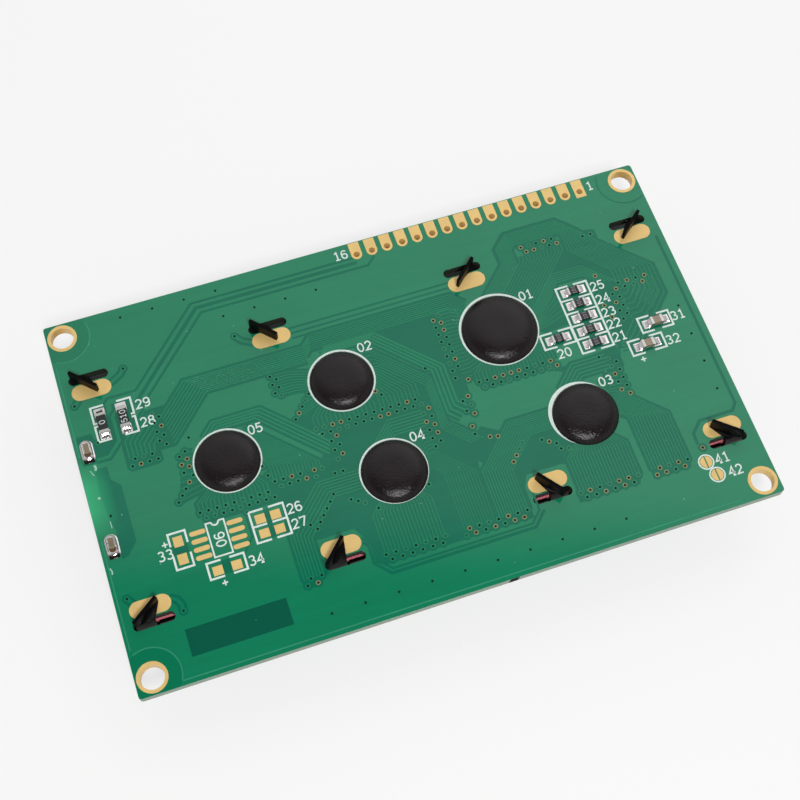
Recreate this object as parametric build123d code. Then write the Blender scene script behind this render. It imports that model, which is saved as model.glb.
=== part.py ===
from build123d import *
import math
import os

os.makedirs("parts", exist_ok=True)

# A character display module lying on its face, component side up.
# +X is along the board, +Y is towards the header row and +Z is out of the component side.
# The origin is the middle of the bezel's front face, which rests on the table.

# Driving dimensions, in millimetres.

# Bezel: a folded sheet steel tray with a window and eight tabs
BEZEL_LENGTH = 97.0
BEZEL_WIDTH = 40.0
BEZEL_DEPTH = 9.0
SHEET = 0.5
FOLD_RADIUS = 0.9
WINDOW_LENGTH = 77.0
WINDOW_WIDTH = 25.2
WINDOW_CORNER_RADIUS = 0.6
WINDOW_EDGE_BREAK = 0.2
CORNER_RELIEF = 1.1
CORNER_RELIEF_START = 1.6

# Twist tabs, and the board slots that they come through
TAB_NECK_WIDTH = 2.9
TAB_HEAD_WIDTH = 4.8
TAB_HEIGHT = 2.55
TAB_TWIST_HEIGHT = 0.55
TAB_ROOT_DEPTH = 1.2
TAB_NECK_LEAN = 0.2
TAB_HEAD_SETBACK = 1.1
TAB_END_GAP = 0.35
TAB_NOTCH_WIDTH = 0.4
TAB_NOTCH_DEPTH = 0.7
# From left to right: the twist in degrees, and how far the head has moved along its slot
UPPER_TABS = [(-44.0, 0.5), (-46.0, 0.35), (43.0, -1.3), (40.0, -1.4)]
LOWER_TABS = [(36.0, 0.5), (45.0, 0.0), (-52.0, -1.4), (-40.0, -1.3)]
SLOT_LENGTH = 6.1
SLOT_WIDTH = 1.5
SLOT_DRILL_HITS = 10
SLOT_OUTSET = 0.15
SLOT_END_INSET = 4.25
INNER_SLOT_SPACING = 32.0
TAB_PAD_LENGTH = 6.05
TAB_PAD_WIDTH = 2.6
TAB_PAD_GAP = 0.18

# Circuit board
BOARD_MARGIN_X = 0.5
BOARD_MARGIN_Y = 10.0
BOARD_THICKNESS = 1.6
BOARD_CORNER_RADIUS = 0.5
FOIL = 0.05
PLATING = 0.06

# Mounting holes
MOUNTING_HOLE = 3.5
MOUNTING_PAD = 4.5
MOUNTING_INSET = 2.5

# Header row: sixteen plated holes along the upper edge
HEADER_PINS = 16
HEADER_PITCH = 2.54
HEADER_HOLE = 1.0
HEADER_PAD_WIDTH = 1.75
HEADER_FIRST_PIN_INSET = 9.85
HEADER_ROW_INSET = 2.3
HEADER_PAD_EDGE_GAP = 0.12
HEADER_PAD_SQUARE_END = 1.1

# Display glass
GLASS_CLEARANCE = 0.1
GLASS_THICKNESS = 1.1
GLASS_LEDGE = 2.3
POLARIZER_THICKNESS = 0.2
POLARIZER_SETBACK = 1.5

# Elastomer connector strips between the glass ledges and the board
STRIP_THICKNESS = 2.3
STRIP_END_SETBACK = 2.5
STRIP_WALL_CLEARANCE = 0.05

# Backlight
FRAME_END_CLEARANCE = 1.6
FRAME_WALL = 1.2
FRAME_FLOOR = 1.2
FRAME_SIDE_CLEARANCE = 0.2
FRAME_RIB_COUNT = 3
FILM_CLEARANCE = 0.1
DIFFUSER_THICKNESS = 0.25
GUIDE_THICKNESS = 3.0
REFLECTOR_THICKNESS = 0.2
LED_BOARD_THICKNESS = 0.8
LED_BOARD_LENGTH = 28.0
LED_COUNT = 4
LED_PITCH = 7.0
LED_LENGTH = 3.0
LED_DEPTH = 0.8
LED_HEIGHT = 2.0
GUIDE_LED_GAP = 0.1

# Backlight leads, which come up through two slots at the left edge
LEAD_THICKNESS = 0.8
LEAD_WIDTH = 2.0
LEAD_BEND_RADIUS = 1.2
LEAD_PROTRUSION = 0.45
LEAD_OFFSET_IN_SLOT = 0.25
LEAD_NOTCH_CLEARANCE = 0.15
LEAD_WALL_INSET = 0.8
LEAD_SLOT_WIDTH = 1.1
LEAD_SLOT_LENGTH = 3.0
LEAD_UPPER_Y = 8.0
LEAD_LOWER_Y = -7.4
# The solder round a lead: length, width, height above the board and shift along the slot
SOLDER_DOME_SECTIONS = [(3.8, 1.95, 0.0, 0.0), (3.15, 1.5, 0.13, 0.14), (2.6, 1.3, 0.4, 0.3)]

# Epoxy blobs: name, centre, radius and height
BLOBS = {
    "u1": (18.0, 8.1, 6.0, 1.5),
    "u2": (-7.9, 7.4, 4.95, 1.35),
    "u3": (25.4, -9.3, 5.1, 1.35),
    "u4": (-4.95, -9.05, 5.05, 1.35),
    "u5": (-27.9, 0.2, 4.95, 1.35),
}

# Chips: size code, centre and quarter turns
SMALL_CHIP = {"length": 2.0, "width": 1.25, "height": 0.5, "cap": 0.28, "land": 1.0}
LARGE_CHIP = {"length": 3.2, "width": 1.45, "height": 0.55, "cap": 0.4, "land": 0.95}
CAPACITOR_CHIP = {"length": 2.0, "width": 1.25, "height": 0.95, "cap": 0.42, "land": 1.15}
CAP_WALL = 0.04
LAND_SIDE_MARGIN = 0.08
# A joint's solder from the cap outwards: share of the land, share of its width, share of the height
FILLET_SECTIONS = [(0.0, 0.92, 0.75), (0.4, 0.6, 0.3), (0.94, 0.88, 0.08)]
RESISTOR_COLUMN_X = 31.4
RESISTOR_COLUMN_BOTTOM_Y = 1.4
RESISTOR_COLUMN_PITCH = 2.36
CHIPS = {
    "resistor_rf": (SMALL_CHIP, 26.1, 3.75, 0),
    "resistor_r9": (LARGE_CHIP, -44.0, 11.75, 1),
    "resistor_r8": (LARGE_CHIP, -40.75, 11.75, 1),
    "capacitor_c1": (CAPACITOR_CHIP, 41.7, 1.85, 0),
    "capacitor_c2": (CAPACITOR_CHIP, 38.9, -1.4, 0),
}
for step in range(5):
    row_y = RESISTOR_COLUMN_BOTTOM_Y + step * RESISTOR_COLUMN_PITCH
    CHIPS[f"resistor_r{step + 1}"] = (SMALL_CHIP, RESISTOR_COLUMN_X, row_y, 0)

# Bare lands of parts that aren't fitted
IC_PITCH = 1.27
IC_ROW_SPACING = 5.55
IC_CENTRE = (-32.3, -11.1)
IC_LAND_LENGTH = 2.4
IC_LAND_WIDTH = 0.72
SPARE_CHIP_LANDS = {
    "r6": (-24.7, -10.0, 0, 2.3, 1.5, 1.4),
    "r7": (-24.7, -12.3, 0, 2.3, 1.5, 1.35),
    "c3": (-38.05, -11.0, 1, 2.75, 1.6, 1.4),
    "c4": (-32.35, -15.6, 0, 2.8, 1.5, 1.4),
}

# Solder jumpers: split discs
JUMPERS = {"j1": (39.65, -22.2), "j2": (40.45, -24.55)}
JUMPER_DIAMETER = 1.85
JUMPER_GAP = 0.2

# Sizes that follow from the driving dimensions

BOARD_LENGTH = BEZEL_LENGTH + 2 * BOARD_MARGIN_X
BOARD_WIDTH = BEZEL_WIDTH + 2 * BOARD_MARGIN_Y
BOARD_BOTTOM = BEZEL_DEPTH
BOARD_TOP = BOARD_BOTTOM + BOARD_THICKNESS
INNER_LENGTH = BEZEL_LENGTH - 2 * SHEET
INNER_WIDTH = BEZEL_WIDTH - 2 * SHEET
INNER_FOLD_RADIUS = FOLD_RADIUS - SHEET

WALL_Y = BEZEL_WIDTH / 2 - SHEET / 2
SLOT_Y = WALL_Y + SLOT_OUTSET
TAB_PAD_Y = SLOT_Y - SLOT_WIDTH / 2 - TAB_PAD_GAP - TAB_PAD_WIDTH / 2
OUTER_SLOT_X = BEZEL_LENGTH / 2 - SLOT_END_INSET
INNER_SLOT_X = INNER_SLOT_SPACING / 2
SLOT_XS = [-OUTER_SLOT_X, -INNER_SLOT_X, INNER_SLOT_X, OUTER_SLOT_X]
# A tab's neck stands near the outer end of its slot
TAB_OFFSET_IN_SLOT = (SLOT_LENGTH - TAB_NECK_WIDTH) / 2 - TAB_END_GAP
TAB_XS = [x + math.copysign(TAB_OFFSET_IN_SLOT, x) for x in SLOT_XS]


GLASS_LENGTH = INNER_LENGTH - 2 * (INNER_FOLD_RADIUS + GLASS_CLEARANCE)
GLASS_WIDTH = INNER_WIDTH - 2 * (INNER_FOLD_RADIUS + GLASS_CLEARANCE)
REAR_GLASS_WIDTH = GLASS_WIDTH - 2 * GLASS_LEDGE
FRONT_POLARIZER_Z = SHEET
FRONT_GLASS_Z = FRONT_POLARIZER_Z + POLARIZER_THICKNESS
REAR_GLASS_Z = FRONT_GLASS_Z + GLASS_THICKNESS
REAR_POLARIZER_Z = REAR_GLASS_Z + GLASS_THICKNESS
BACKLIGHT_Z = REAR_POLARIZER_Z + POLARIZER_THICKNESS

STRIP_LENGTH = GLASS_LENGTH - 2 * STRIP_END_SETBACK
STRIP_Y = INNER_WIDTH / 2 - STRIP_WALL_CLEARANCE - STRIP_THICKNESS / 2
FRAME_LENGTH = INNER_LENGTH - 2 * FRAME_END_CLEARANCE
FRAME_WIDTH = 2 * (STRIP_Y - STRIP_THICKNESS / 2 - FRAME_SIDE_CLEARANCE)
CAVITY_LENGTH = FRAME_LENGTH - 2 * FRAME_WALL
CAVITY_WIDTH = FRAME_WIDTH - 2 * FRAME_WALL
GUIDE_Z = BACKLIGHT_Z + DIFFUSER_THICKNESS
REFLECTOR_Z = GUIDE_Z + GUIDE_THICKNESS
FLOOR_Z = REFLECTOR_Z + REFLECTOR_THICKNESS
LED_BOARD_X = -CAVITY_LENGTH / 2
LED_X = LED_BOARD_X + LED_BOARD_THICKNESS
GUIDE_START_X = LED_X + LED_DEPTH + GUIDE_LED_GAP
GUIDE_END_X = CAVITY_LENGTH / 2 - FILM_CLEARANCE
LEAD_X = -(INNER_LENGTH / 2 - LEAD_WALL_INSET)
LEAD_Z = GUIDE_Z + GUIDE_THICKNESS / 2

HOLE_X = BOARD_LENGTH / 2 - MOUNTING_INSET
HOLE_Y = BOARD_WIDTH / 2 - MOUNTING_INSET
MOUNTING_POINTS = [(x, y) for x in (-HOLE_X, HOLE_X) for y in (-HOLE_Y, HOLE_Y)]
HEADER_X = BOARD_LENGTH / 2 - HEADER_FIRST_PIN_INSET
HEADER_Y = BOARD_WIDTH / 2 - HEADER_ROW_INSET
HEADER_POINTS = [(HEADER_X - pin * HEADER_PITCH, HEADER_Y) for pin in range(HEADER_PINS)]
LEAD_SLOTS = [LEAD_UPPER_Y, LEAD_LOWER_Y]


def prism(sketch, bottom, height):
    """A flat shape in the XY plane, raised from z = bottom."""
    return extrude(Pos(0, 0, bottom) * sketch, height)


def block(length, width, bottom, height, x=0.0, y=0.0):
    """A rectangular piece centred on x and y that stands on z = bottom."""
    return prism(Pos(x, y) * Rectangle(length, width), bottom, height)


def save(node, *solids):
    """Write one node: a single solid, or a group of separate ones."""
    shape = solids[0] if len(solids) == 1 else Compound(list(solids))
    export_step(shape, f"parts/{node}.step")


# Circuit board

def drilled_slot(x, y):
    """A slot made by overlapping drill hits, which leave a scalloped wall."""
    pitch = (SLOT_LENGTH - SLOT_WIDTH) / (SLOT_DRILL_HITS - 1)
    slot = Sketch()
    for hit in range(SLOT_DRILL_HITS):
        slot += Pos(x + (hit - (SLOT_DRILL_HITS - 1) / 2) * pitch, y) * Circle(SLOT_WIDTH / 2)
    return slot


def circuit_board():
    """Laminate with all its holes, at the size before plating."""
    outline = RectangleRounded(BOARD_LENGTH, BOARD_WIDTH, BOARD_CORNER_RADIUS)
    cuts = [Pos(x, y) * Circle(MOUNTING_HOLE / 2 + PLATING) for x, y in MOUNTING_POINTS]
    cuts += [Pos(x, y) * Circle(HEADER_HOLE / 2 + PLATING) for x, y in HEADER_POINTS]
    for x in SLOT_XS:
        cuts += [drilled_slot(x, -SLOT_Y), drilled_slot(x, SLOT_Y)]
    for y in LEAD_SLOTS:
        cuts.append(Pos(LEAD_X, y) * SlotOverall(LEAD_SLOT_LENGTH, LEAD_SLOT_WIDTH, rotation=90))
    return prism(outline - cuts, BOARD_BOTTOM, BOARD_THICKNESS)


def plated_hole(x, y, hole, upper_land, lower_land):
    """A barrel through the board with a land on each face, in one piece."""
    bore = Pos(x, y) * Circle(hole / 2)
    barrel = prism(Pos(x, y) * Circle(hole / 2 + PLATING) - bore, BOARD_BOTTOM, BOARD_THICKNESS)
    top = prism(upper_land - bore, BOARD_TOP, FOIL)
    bottom = prism(lower_land - bore, BOARD_BOTTOM - FOIL, FOIL)
    return barrel + top + bottom


def mounting_hole_plating():
    rings = []
    for x, y in MOUNTING_POINTS:
        land = Pos(x, y) * Circle(MOUNTING_PAD / 2)
        rings.append(plated_hole(x, y, MOUNTING_HOLE, land, land))
    return rings


def header_pad(pin):
    """A land from the board's edge to the hole: round inside, square on the first pin."""
    x, y = HEADER_POINTS[pin]
    reach = HEADER_ROW_INSET - HEADER_PAD_EDGE_GAP
    land = Pos(x, y + reach / 2) * Rectangle(HEADER_PAD_WIDTH, reach)
    if pin == 0:
        land += Pos(x, y - HEADER_PAD_SQUARE_END / 2) * Rectangle(HEADER_PAD_WIDTH, HEADER_PAD_SQUARE_END)
    else:
        land += Pos(x, y) * Circle(HEADER_PAD_WIDTH / 2)
    ring = Pos(x, y) * Circle(HEADER_PAD_WIDTH / 2)
    return plated_hole(x, y, HEADER_HOLE, land, ring)


def tab_ground_pads():
    """Eight obround lands that the twisted tabs lean over."""
    lands = []
    for x in SLOT_XS:
        for side in (-1, 1):
            land = Pos(x, side * TAB_PAD_Y) * SlotOverall(TAB_PAD_LENGTH, TAB_PAD_WIDTH)
            lands.append(prism(land, BOARD_TOP, FOIL))
    return lands


def spare_ic_pads():
    """Two rows of four obround lands for an 8-pin chip."""
    lands = []
    for side in (-1, 1):
        for row in range(4):
            x = IC_CENTRE[0] + side * IC_ROW_SPACING / 2
            y = IC_CENTRE[1] + (row - 1.5) * IC_PITCH
            lands.append(prism(Pos(x, y) * SlotOverall(IC_LAND_LENGTH, IC_LAND_WIDTH), BOARD_TOP, FOIL))
    return lands


def spare_chip_pads():
    """A pair of bare lands for each chip that isn't fitted."""
    lands = []
    for x, y, turns, spacing, length, width in SPARE_CHIP_LANDS.values():
        for side in (-1, 1):
            land = Rot(0, 0, 90 * turns) * Pos(side * spacing / 2, 0) * Rectangle(length, width)
            lands.append(prism(Pos(x, y) * land, BOARD_TOP, FOIL))
    return lands


def jumper_pads():
    """Each jumper is a disc that a narrow gap splits into two halves."""
    halves = []
    for x, y in JUMPERS.values():
        disc = Circle(JUMPER_DIAMETER / 2)
        for side in (-1, 1):
            keep = Pos(side * (JUMPER_DIAMETER + JUMPER_GAP) / 2, 0) * Rectangle(JUMPER_DIAMETER, 2 * JUMPER_DIAMETER)
            halves.append(prism(Pos(x, y) * (disc & keep), BOARD_TOP, FOIL))
    return halves


# Bezel

def tab_notches(x, side):
    """Two short cuts in the wall's edge that free the tab's neck."""
    notch = block(TAB_NOTCH_WIDTH, 3 * SHEET, BEZEL_DEPTH - TAB_NOTCH_DEPTH, 2 * TAB_NOTCH_DEPTH)
    offset = (TAB_NECK_WIDTH + TAB_NOTCH_WIDTH) / 2
    return [Pos(x + end * offset, side * WALL_Y) * notch for end in (-1, 1)]


def twist_tab(x, side, twist, shift):
    """A narrow neck from the wall that fans out and turns into a wide head above the board."""
    y = side * WALL_Y
    head_x = x + shift
    head_y = y - side * TAB_HEAD_SETBACK
    neck = Rectangle(TAB_NECK_WIDTH, SHEET)
    head = Rot(0, 0, twist) * Rectangle(TAB_HEAD_WIDTH, SHEET)
    sections = [
        Pos(x, y, BOARD_BOTTOM - TAB_ROOT_DEPTH) * neck,
        Pos(x, y, BOARD_BOTTOM) * neck,
        Pos(x, y - side * TAB_NECK_LEAN, BOARD_TOP) * neck,
        Pos(head_x, head_y, BOARD_TOP + TAB_TWIST_HEIGHT) * head,
        Pos(head_x, head_y, BOARD_TOP + TAB_HEIGHT) * head,
    ]
    return loft(Sketch() + sections, ruled=True)


def bezel():
    """Front plate with a window and four folded walls, open at the corners."""
    outer = block(BEZEL_LENGTH, BEZEL_WIDTH, 0, BEZEL_DEPTH)
    outer = fillet(outer.faces().sort_by(Axis.Z)[0].edges(), FOLD_RADIUS)
    inner = block(INNER_LENGTH, INNER_WIDTH, SHEET, BEZEL_DEPTH)
    inner = fillet(inner.faces().sort_by(Axis.Z)[0].edges(), INNER_FOLD_RADIUS)
    window = prism(RectangleRounded(WINDOW_LENGTH, WINDOW_WIDTH, WINDOW_CORNER_RADIUS), -SHEET, 3 * SHEET)
    tray = outer - inner - window
    rim = tray.faces().sort_by(Axis.Z)[0].inner_wires()[0].edges()
    tray = chamfer(rim, WINDOW_EDGE_BREAK)
    for x in (-1, 1):
        for y in (-1, 1):
            tray -= block(2 * CORNER_RELIEF, 2 * CORNER_RELIEF, CORNER_RELIEF_START, BEZEL_DEPTH,
                          x * BEZEL_LENGTH / 2, y * BEZEL_WIDTH / 2)
    for side, row in ((1, UPPER_TABS), (-1, LOWER_TABS)):
        for x, (twist, shift) in zip(TAB_XS, row):
            tray -= tab_notches(x, side)
            tray += twist_tab(x, side, twist, shift)
    return tray


# Display

def polarizer(width, bottom):
    return block(GLASS_LENGTH - 2 * POLARIZER_SETBACK, width - 2 * POLARIZER_SETBACK, bottom, POLARIZER_THICKNESS)


def elastomer_strip(side):
    height = BOARD_BOTTOM - REAR_GLASS_Z
    return block(STRIP_LENGTH, STRIP_THICKNESS, REAR_GLASS_Z, height, 0, side * STRIP_Y)


# Backlight

def backlight_frame():
    """White tray, open to the glass, whose walls and ribs stand on the board."""
    height = BOARD_BOTTOM - BACKLIGHT_Z
    tray = block(FRAME_LENGTH, FRAME_WIDTH, BACKLIGHT_Z, height)
    tray -= block(CAVITY_LENGTH, CAVITY_WIDTH, BACKLIGHT_Z, FLOOR_Z - BACKLIGHT_Z)
    tray -= block(CAVITY_LENGTH, CAVITY_WIDTH, FLOOR_Z + FRAME_FLOOR, height)
    rib_height = BOARD_BOTTOM - FLOOR_Z - FRAME_FLOOR
    for rib in range(FRAME_RIB_COUNT):
        x = (rib + 1) * CAVITY_LENGTH / (FRAME_RIB_COUNT + 1) - CAVITY_LENGTH / 2
        tray += block(FRAME_WALL, CAVITY_WIDTH, FLOOR_Z + FRAME_FLOOR, rib_height, x)
    for y in LEAD_SLOTS:
        top = LEAD_Z + LEAD_THICKNESS / 2 + LEAD_NOTCH_CLEARANCE
        tray -= block(2 * FRAME_WALL, LEAD_WIDTH + 2 * LEAD_NOTCH_CLEARANCE, BACKLIGHT_Z, top - BACKLIGHT_Z,
                      -FRAME_LENGTH / 2, y + LEAD_OFFSET_IN_SLOT)
    return tray


def film(bottom, thickness):
    """A sheet that lies in the frame's cavity."""
    return block(CAVITY_LENGTH - 2 * FILM_CLEARANCE, CAVITY_WIDTH - 2 * FILM_CLEARANCE, bottom, thickness)


def light_guide():
    middle = (GUIDE_START_X + GUIDE_END_X) / 2
    return block(GUIDE_END_X - GUIDE_START_X, CAVITY_WIDTH - 2 * FILM_CLEARANCE, GUIDE_Z, GUIDE_THICKNESS, middle)


def backlight_leds():
    """Side-firing lamps on the strip board, facing the end of the light guide."""
    lamps = []
    for lamp in range(LED_COUNT):
        y = (lamp - (LED_COUNT - 1) / 2) * LED_PITCH
        bottom = GUIDE_Z + (GUIDE_THICKNESS - LED_HEIGHT) / 2
        lamps.append(block(LED_DEPTH, LED_LENGTH, bottom, LED_HEIGHT, LED_X + LED_DEPTH / 2, y))
    return lamps


def backlight_lead(y):
    """A flat lead that leaves the strip board, turns once and stands up through its slot."""
    start = (LED_BOARD_X, LEAD_Z)
    turn = (LEAD_X, LEAD_Z)
    end = (LEAD_X, BOARD_TOP + LEAD_PROTRUSION)
    path = FilletPolyline(start, turn, end, radius=LEAD_BEND_RADIUS)
    flat = extrude(trace(path, LEAD_THICKNESS), LEAD_WIDTH / 2, both=True)
    return Pos(0, y + LEAD_OFFSET_IN_SLOT, 0) * (Plane.XZ * flat)


def lead_solder(y):
    """Solder that fills the slot round the lead and climbs it in a hollow curve."""
    plug = prism(Pos(LEAD_X, y) * SlotOverall(LEAD_SLOT_LENGTH, LEAD_SLOT_WIDTH, rotation=90),
                 BOARD_BOTTOM, BOARD_THICKNESS)
    sections = [Pos(LEAD_X, y + shift, BOARD_TOP + rise) * SlotOverall(length, width, rotation=90)
                for length, width, rise, shift in SOLDER_DOME_SECTIONS]
    return plug + loft(Sketch() + sections) - backlight_lead(y)


# Parts on the board

def epoxy_blob(x, y, radius, height):
    """A poured drop: steep at its rim and nearly flat on top."""
    dome = Spline((radius, 0), (0, height), tangents=[(-0.45, 1), (-1, 0)])
    profile = make_face(Plane.XZ * (dome + Line((0, height), (0, 0)) + Line((0, 0), (radius, 0))))
    return Pos(x, y, BOARD_TOP) * revolve(profile, Axis.Z)


def chip(size, x, y, turns):
    """A ceramic body with a wrapped metal cap on each end."""
    length, width, height, cap = size["length"], size["width"], size["height"], size["cap"]
    core = Pos(0, 0, height / 2) * Box(length - 2 * CAP_WALL, width - 2 * CAP_WALL, height - 2 * CAP_WALL)
    solids = [core]
    for side in (-1, 1):
        shell = Pos(side * (length - cap) / 2, 0, height / 2) * Box(cap, width, height)
        solids.append(shell - core)
    place = Pos(x, y, BOARD_TOP + FOIL) * Rot(0, 0, 90 * turns)
    return [place * solid for solid in solids]


def chip_joints(size, x, y, turns):
    """Each end's copper land with its solder, which climbs the end cap and has a waist."""
    length, width, height = size["length"], size["width"], size["height"]
    land, cap = size["land"], size["cap"]
    land_width = width + 2 * LAND_SIDE_MARGIN
    plate = block(land + cap, land_width, 0, FOIL, (length + land - cap) / 2)
    sections = []
    for share_out, share_wide, share_high in FILLET_SECTIONS:
        rise = share_high * height
        middle = (length / 2 + share_out * land, 0, FOIL + rise / 2)
        sections.append(Plane(middle, x_dir=(0, 1, 0), z_dir=(1, 0, 0)) * Rectangle(share_wide * land_width, rise))
    joint = plate + loft(Sketch() + sections)
    joints = []
    for side in (-1, 1):
        place = Pos(x, y, BOARD_TOP) * Rot(0, 0, 90 * turns + (0 if side > 0 else 180))
        joints.append(place * joint)
    return joints


save("circuit_board", circuit_board())
save("mounting_hole_plating", *mounting_hole_plating())
save("header_pads", *[header_pad(pin) for pin in range(HEADER_PINS)])
save("tab_ground_pads", *tab_ground_pads())
save("spare_ic_pads", *spare_ic_pads())
save("spare_chip_pads", *spare_chip_pads())
save("jumper_pads", *jumper_pads())

save("bezel", bezel())
save("front_polarizer", polarizer(GLASS_WIDTH, FRONT_POLARIZER_Z))
save("front_glass", block(GLASS_LENGTH, GLASS_WIDTH, FRONT_GLASS_Z, GLASS_THICKNESS))
save("rear_glass", block(GLASS_LENGTH, REAR_GLASS_WIDTH, REAR_GLASS_Z, GLASS_THICKNESS))
save("rear_polarizer", polarizer(REAR_GLASS_WIDTH, REAR_POLARIZER_Z))
save("elastomer_strip_upper", elastomer_strip(1))
save("elastomer_strip_lower", elastomer_strip(-1))

save("backlight_frame", backlight_frame())
save("diffuser_film", film(BACKLIGHT_Z, DIFFUSER_THICKNESS))
save("light_guide", light_guide())
save("reflector_film", film(REFLECTOR_Z, REFLECTOR_THICKNESS))
save("led_strip_board", block(LED_BOARD_THICKNESS, LED_BOARD_LENGTH, GUIDE_Z, GUIDE_THICKNESS,
                              LED_BOARD_X + LED_BOARD_THICKNESS / 2))
save("backlight_leds", *backlight_leds())
save("anode_lead", backlight_lead(LEAD_UPPER_Y))
save("cathode_lead", backlight_lead(LEAD_LOWER_Y))
save("anode_lead_solder", lead_solder(LEAD_UPPER_Y))
save("cathode_lead_solder", lead_solder(LEAD_LOWER_Y))

for name, (x, y, radius, height) in BLOBS.items():
    save(f"epoxy_blob_{name}", epoxy_blob(x, y, radius, height))
joints = []
for name, (size, x, y, turns) in CHIPS.items():
    save(name, *chip(size, x, y, turns))
    joints += chip_joints(size, x, y, turns)
save("chip_solder_joints", *joints)
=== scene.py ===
# %% [markdown]
# # A character display module, seen from its component side
#
# The real object is a green circuit board with a display clipped to its far face. It lies on that
# face, so what shows is the board: gold lands, five black drops of epoxy over bare chips, a few chip
# resistors, and eight black steel tabs twisted over the board's slots. The solids come from the CAD
# frame. This file gives each of them its finish, and adds what is printed or etched on the board.

import math
import random

import bpy
from mathutils import Matrix, Vector


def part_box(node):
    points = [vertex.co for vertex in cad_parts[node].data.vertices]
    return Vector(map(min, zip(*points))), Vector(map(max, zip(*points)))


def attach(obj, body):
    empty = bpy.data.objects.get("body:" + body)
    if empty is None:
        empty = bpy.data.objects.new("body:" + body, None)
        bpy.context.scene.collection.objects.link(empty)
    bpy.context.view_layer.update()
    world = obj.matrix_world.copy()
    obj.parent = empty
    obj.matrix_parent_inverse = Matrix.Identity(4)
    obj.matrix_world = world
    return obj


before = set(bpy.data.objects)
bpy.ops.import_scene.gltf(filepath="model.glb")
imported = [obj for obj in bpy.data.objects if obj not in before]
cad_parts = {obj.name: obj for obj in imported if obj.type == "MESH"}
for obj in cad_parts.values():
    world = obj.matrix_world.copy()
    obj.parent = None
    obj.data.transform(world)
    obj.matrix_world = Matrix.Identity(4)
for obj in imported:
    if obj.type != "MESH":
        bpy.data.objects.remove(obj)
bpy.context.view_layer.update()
MM = 0.001
board_low, board_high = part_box("circuit_board")
BOARD_TOP = board_high.z / MM
BOARD_BOTTOM = board_low.z / MM
HALF_LENGTH = board_high.x / MM
HALF_WIDTH = board_high.y / MM
print("board top at", round(BOARD_TOP, 2), "mm; half size", round(HALF_LENGTH, 2), round(HALF_WIDTH, 2))

# %% [markdown]
# ## Flat work on the board
#
# Copper, solder mask and printed ink are layers a few hundredths of a millimetre thick. Each could
# be a picture on the board, but then its edges would neither catch light nor last in the exported
# mesh. Here every line is a thin prism, so a trace has a real edge. All coordinates are in
# millimetres from the board's middle, with +Y towards the header row.

# %% Plane geometry
def boxes_meet(first, second):
    """Whether two flat boxes (low x, high x, low y, high y) overlap."""
    apart_x = first[1] < second[0] or second[1] < first[0]
    apart_y = first[3] < second[2] or second[3] < first[2]
    return not (apart_x or apart_y)


def signed_area(points):
    """Positive when the corners run anticlockwise."""
    total = 0.0
    for (x0, y0), (x1, y1) in zip(points, points[1:] + points[:1]):
        total += x0 * y1 - x1 * y0
    return total / 2


def circle(x, y, radius, steps):
    turn = 2 * math.pi / steps
    return [(x + radius * math.cos(i * turn), y + radius * math.sin(i * turn)) for i in range(steps)]


def offset_line(points, distance):
    """The line moved sideways by a distance, with its corners mitred."""
    moved = []
    for i, point in enumerate(points):
        here = Vector(point)
        before = (here - Vector(points[i - 1])).normalized() if i else None
        after = (Vector(points[i + 1]) - here).normalized() if i + 1 < len(points) else None
        before = before or after
        after = after or before
        normal = Vector((-before.y - after.y, before.x + after.x)).normalized()
        stretch = max(0.4, normal.dot(Vector((-after.y, after.x))))
        moved.append(tuple(here + normal * distance / stretch))
    return moved


def between(edge_a, edge_b, share):
    """A line part of the way from one edge line to another with as many points."""
    return [tuple(Vector(a).lerp(Vector(b), share)) for a, b in zip(edge_a, edge_b)]


# %% A piece from plain mesh data
def make_piece(name, verts, faces, material):
    """An object from millimetre corners and faces, which rides with the model."""
    mesh = bpy.data.meshes.new(name)
    mesh.from_pydata([(x * MM, y * MM, z * MM) for x, y, z in verts], [], faces)
    mesh.validate()
    mesh.materials.append(material)
    piece = bpy.data.objects.new(name, mesh)
    bpy.context.scene.collection.objects.link(piece)
    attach(piece, "root")
    print(name, "has", len(faces), "faces")


# %% A mesh made of thin prisms
SINK = 0.005
LEVEL_STEP = 0.0003


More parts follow.
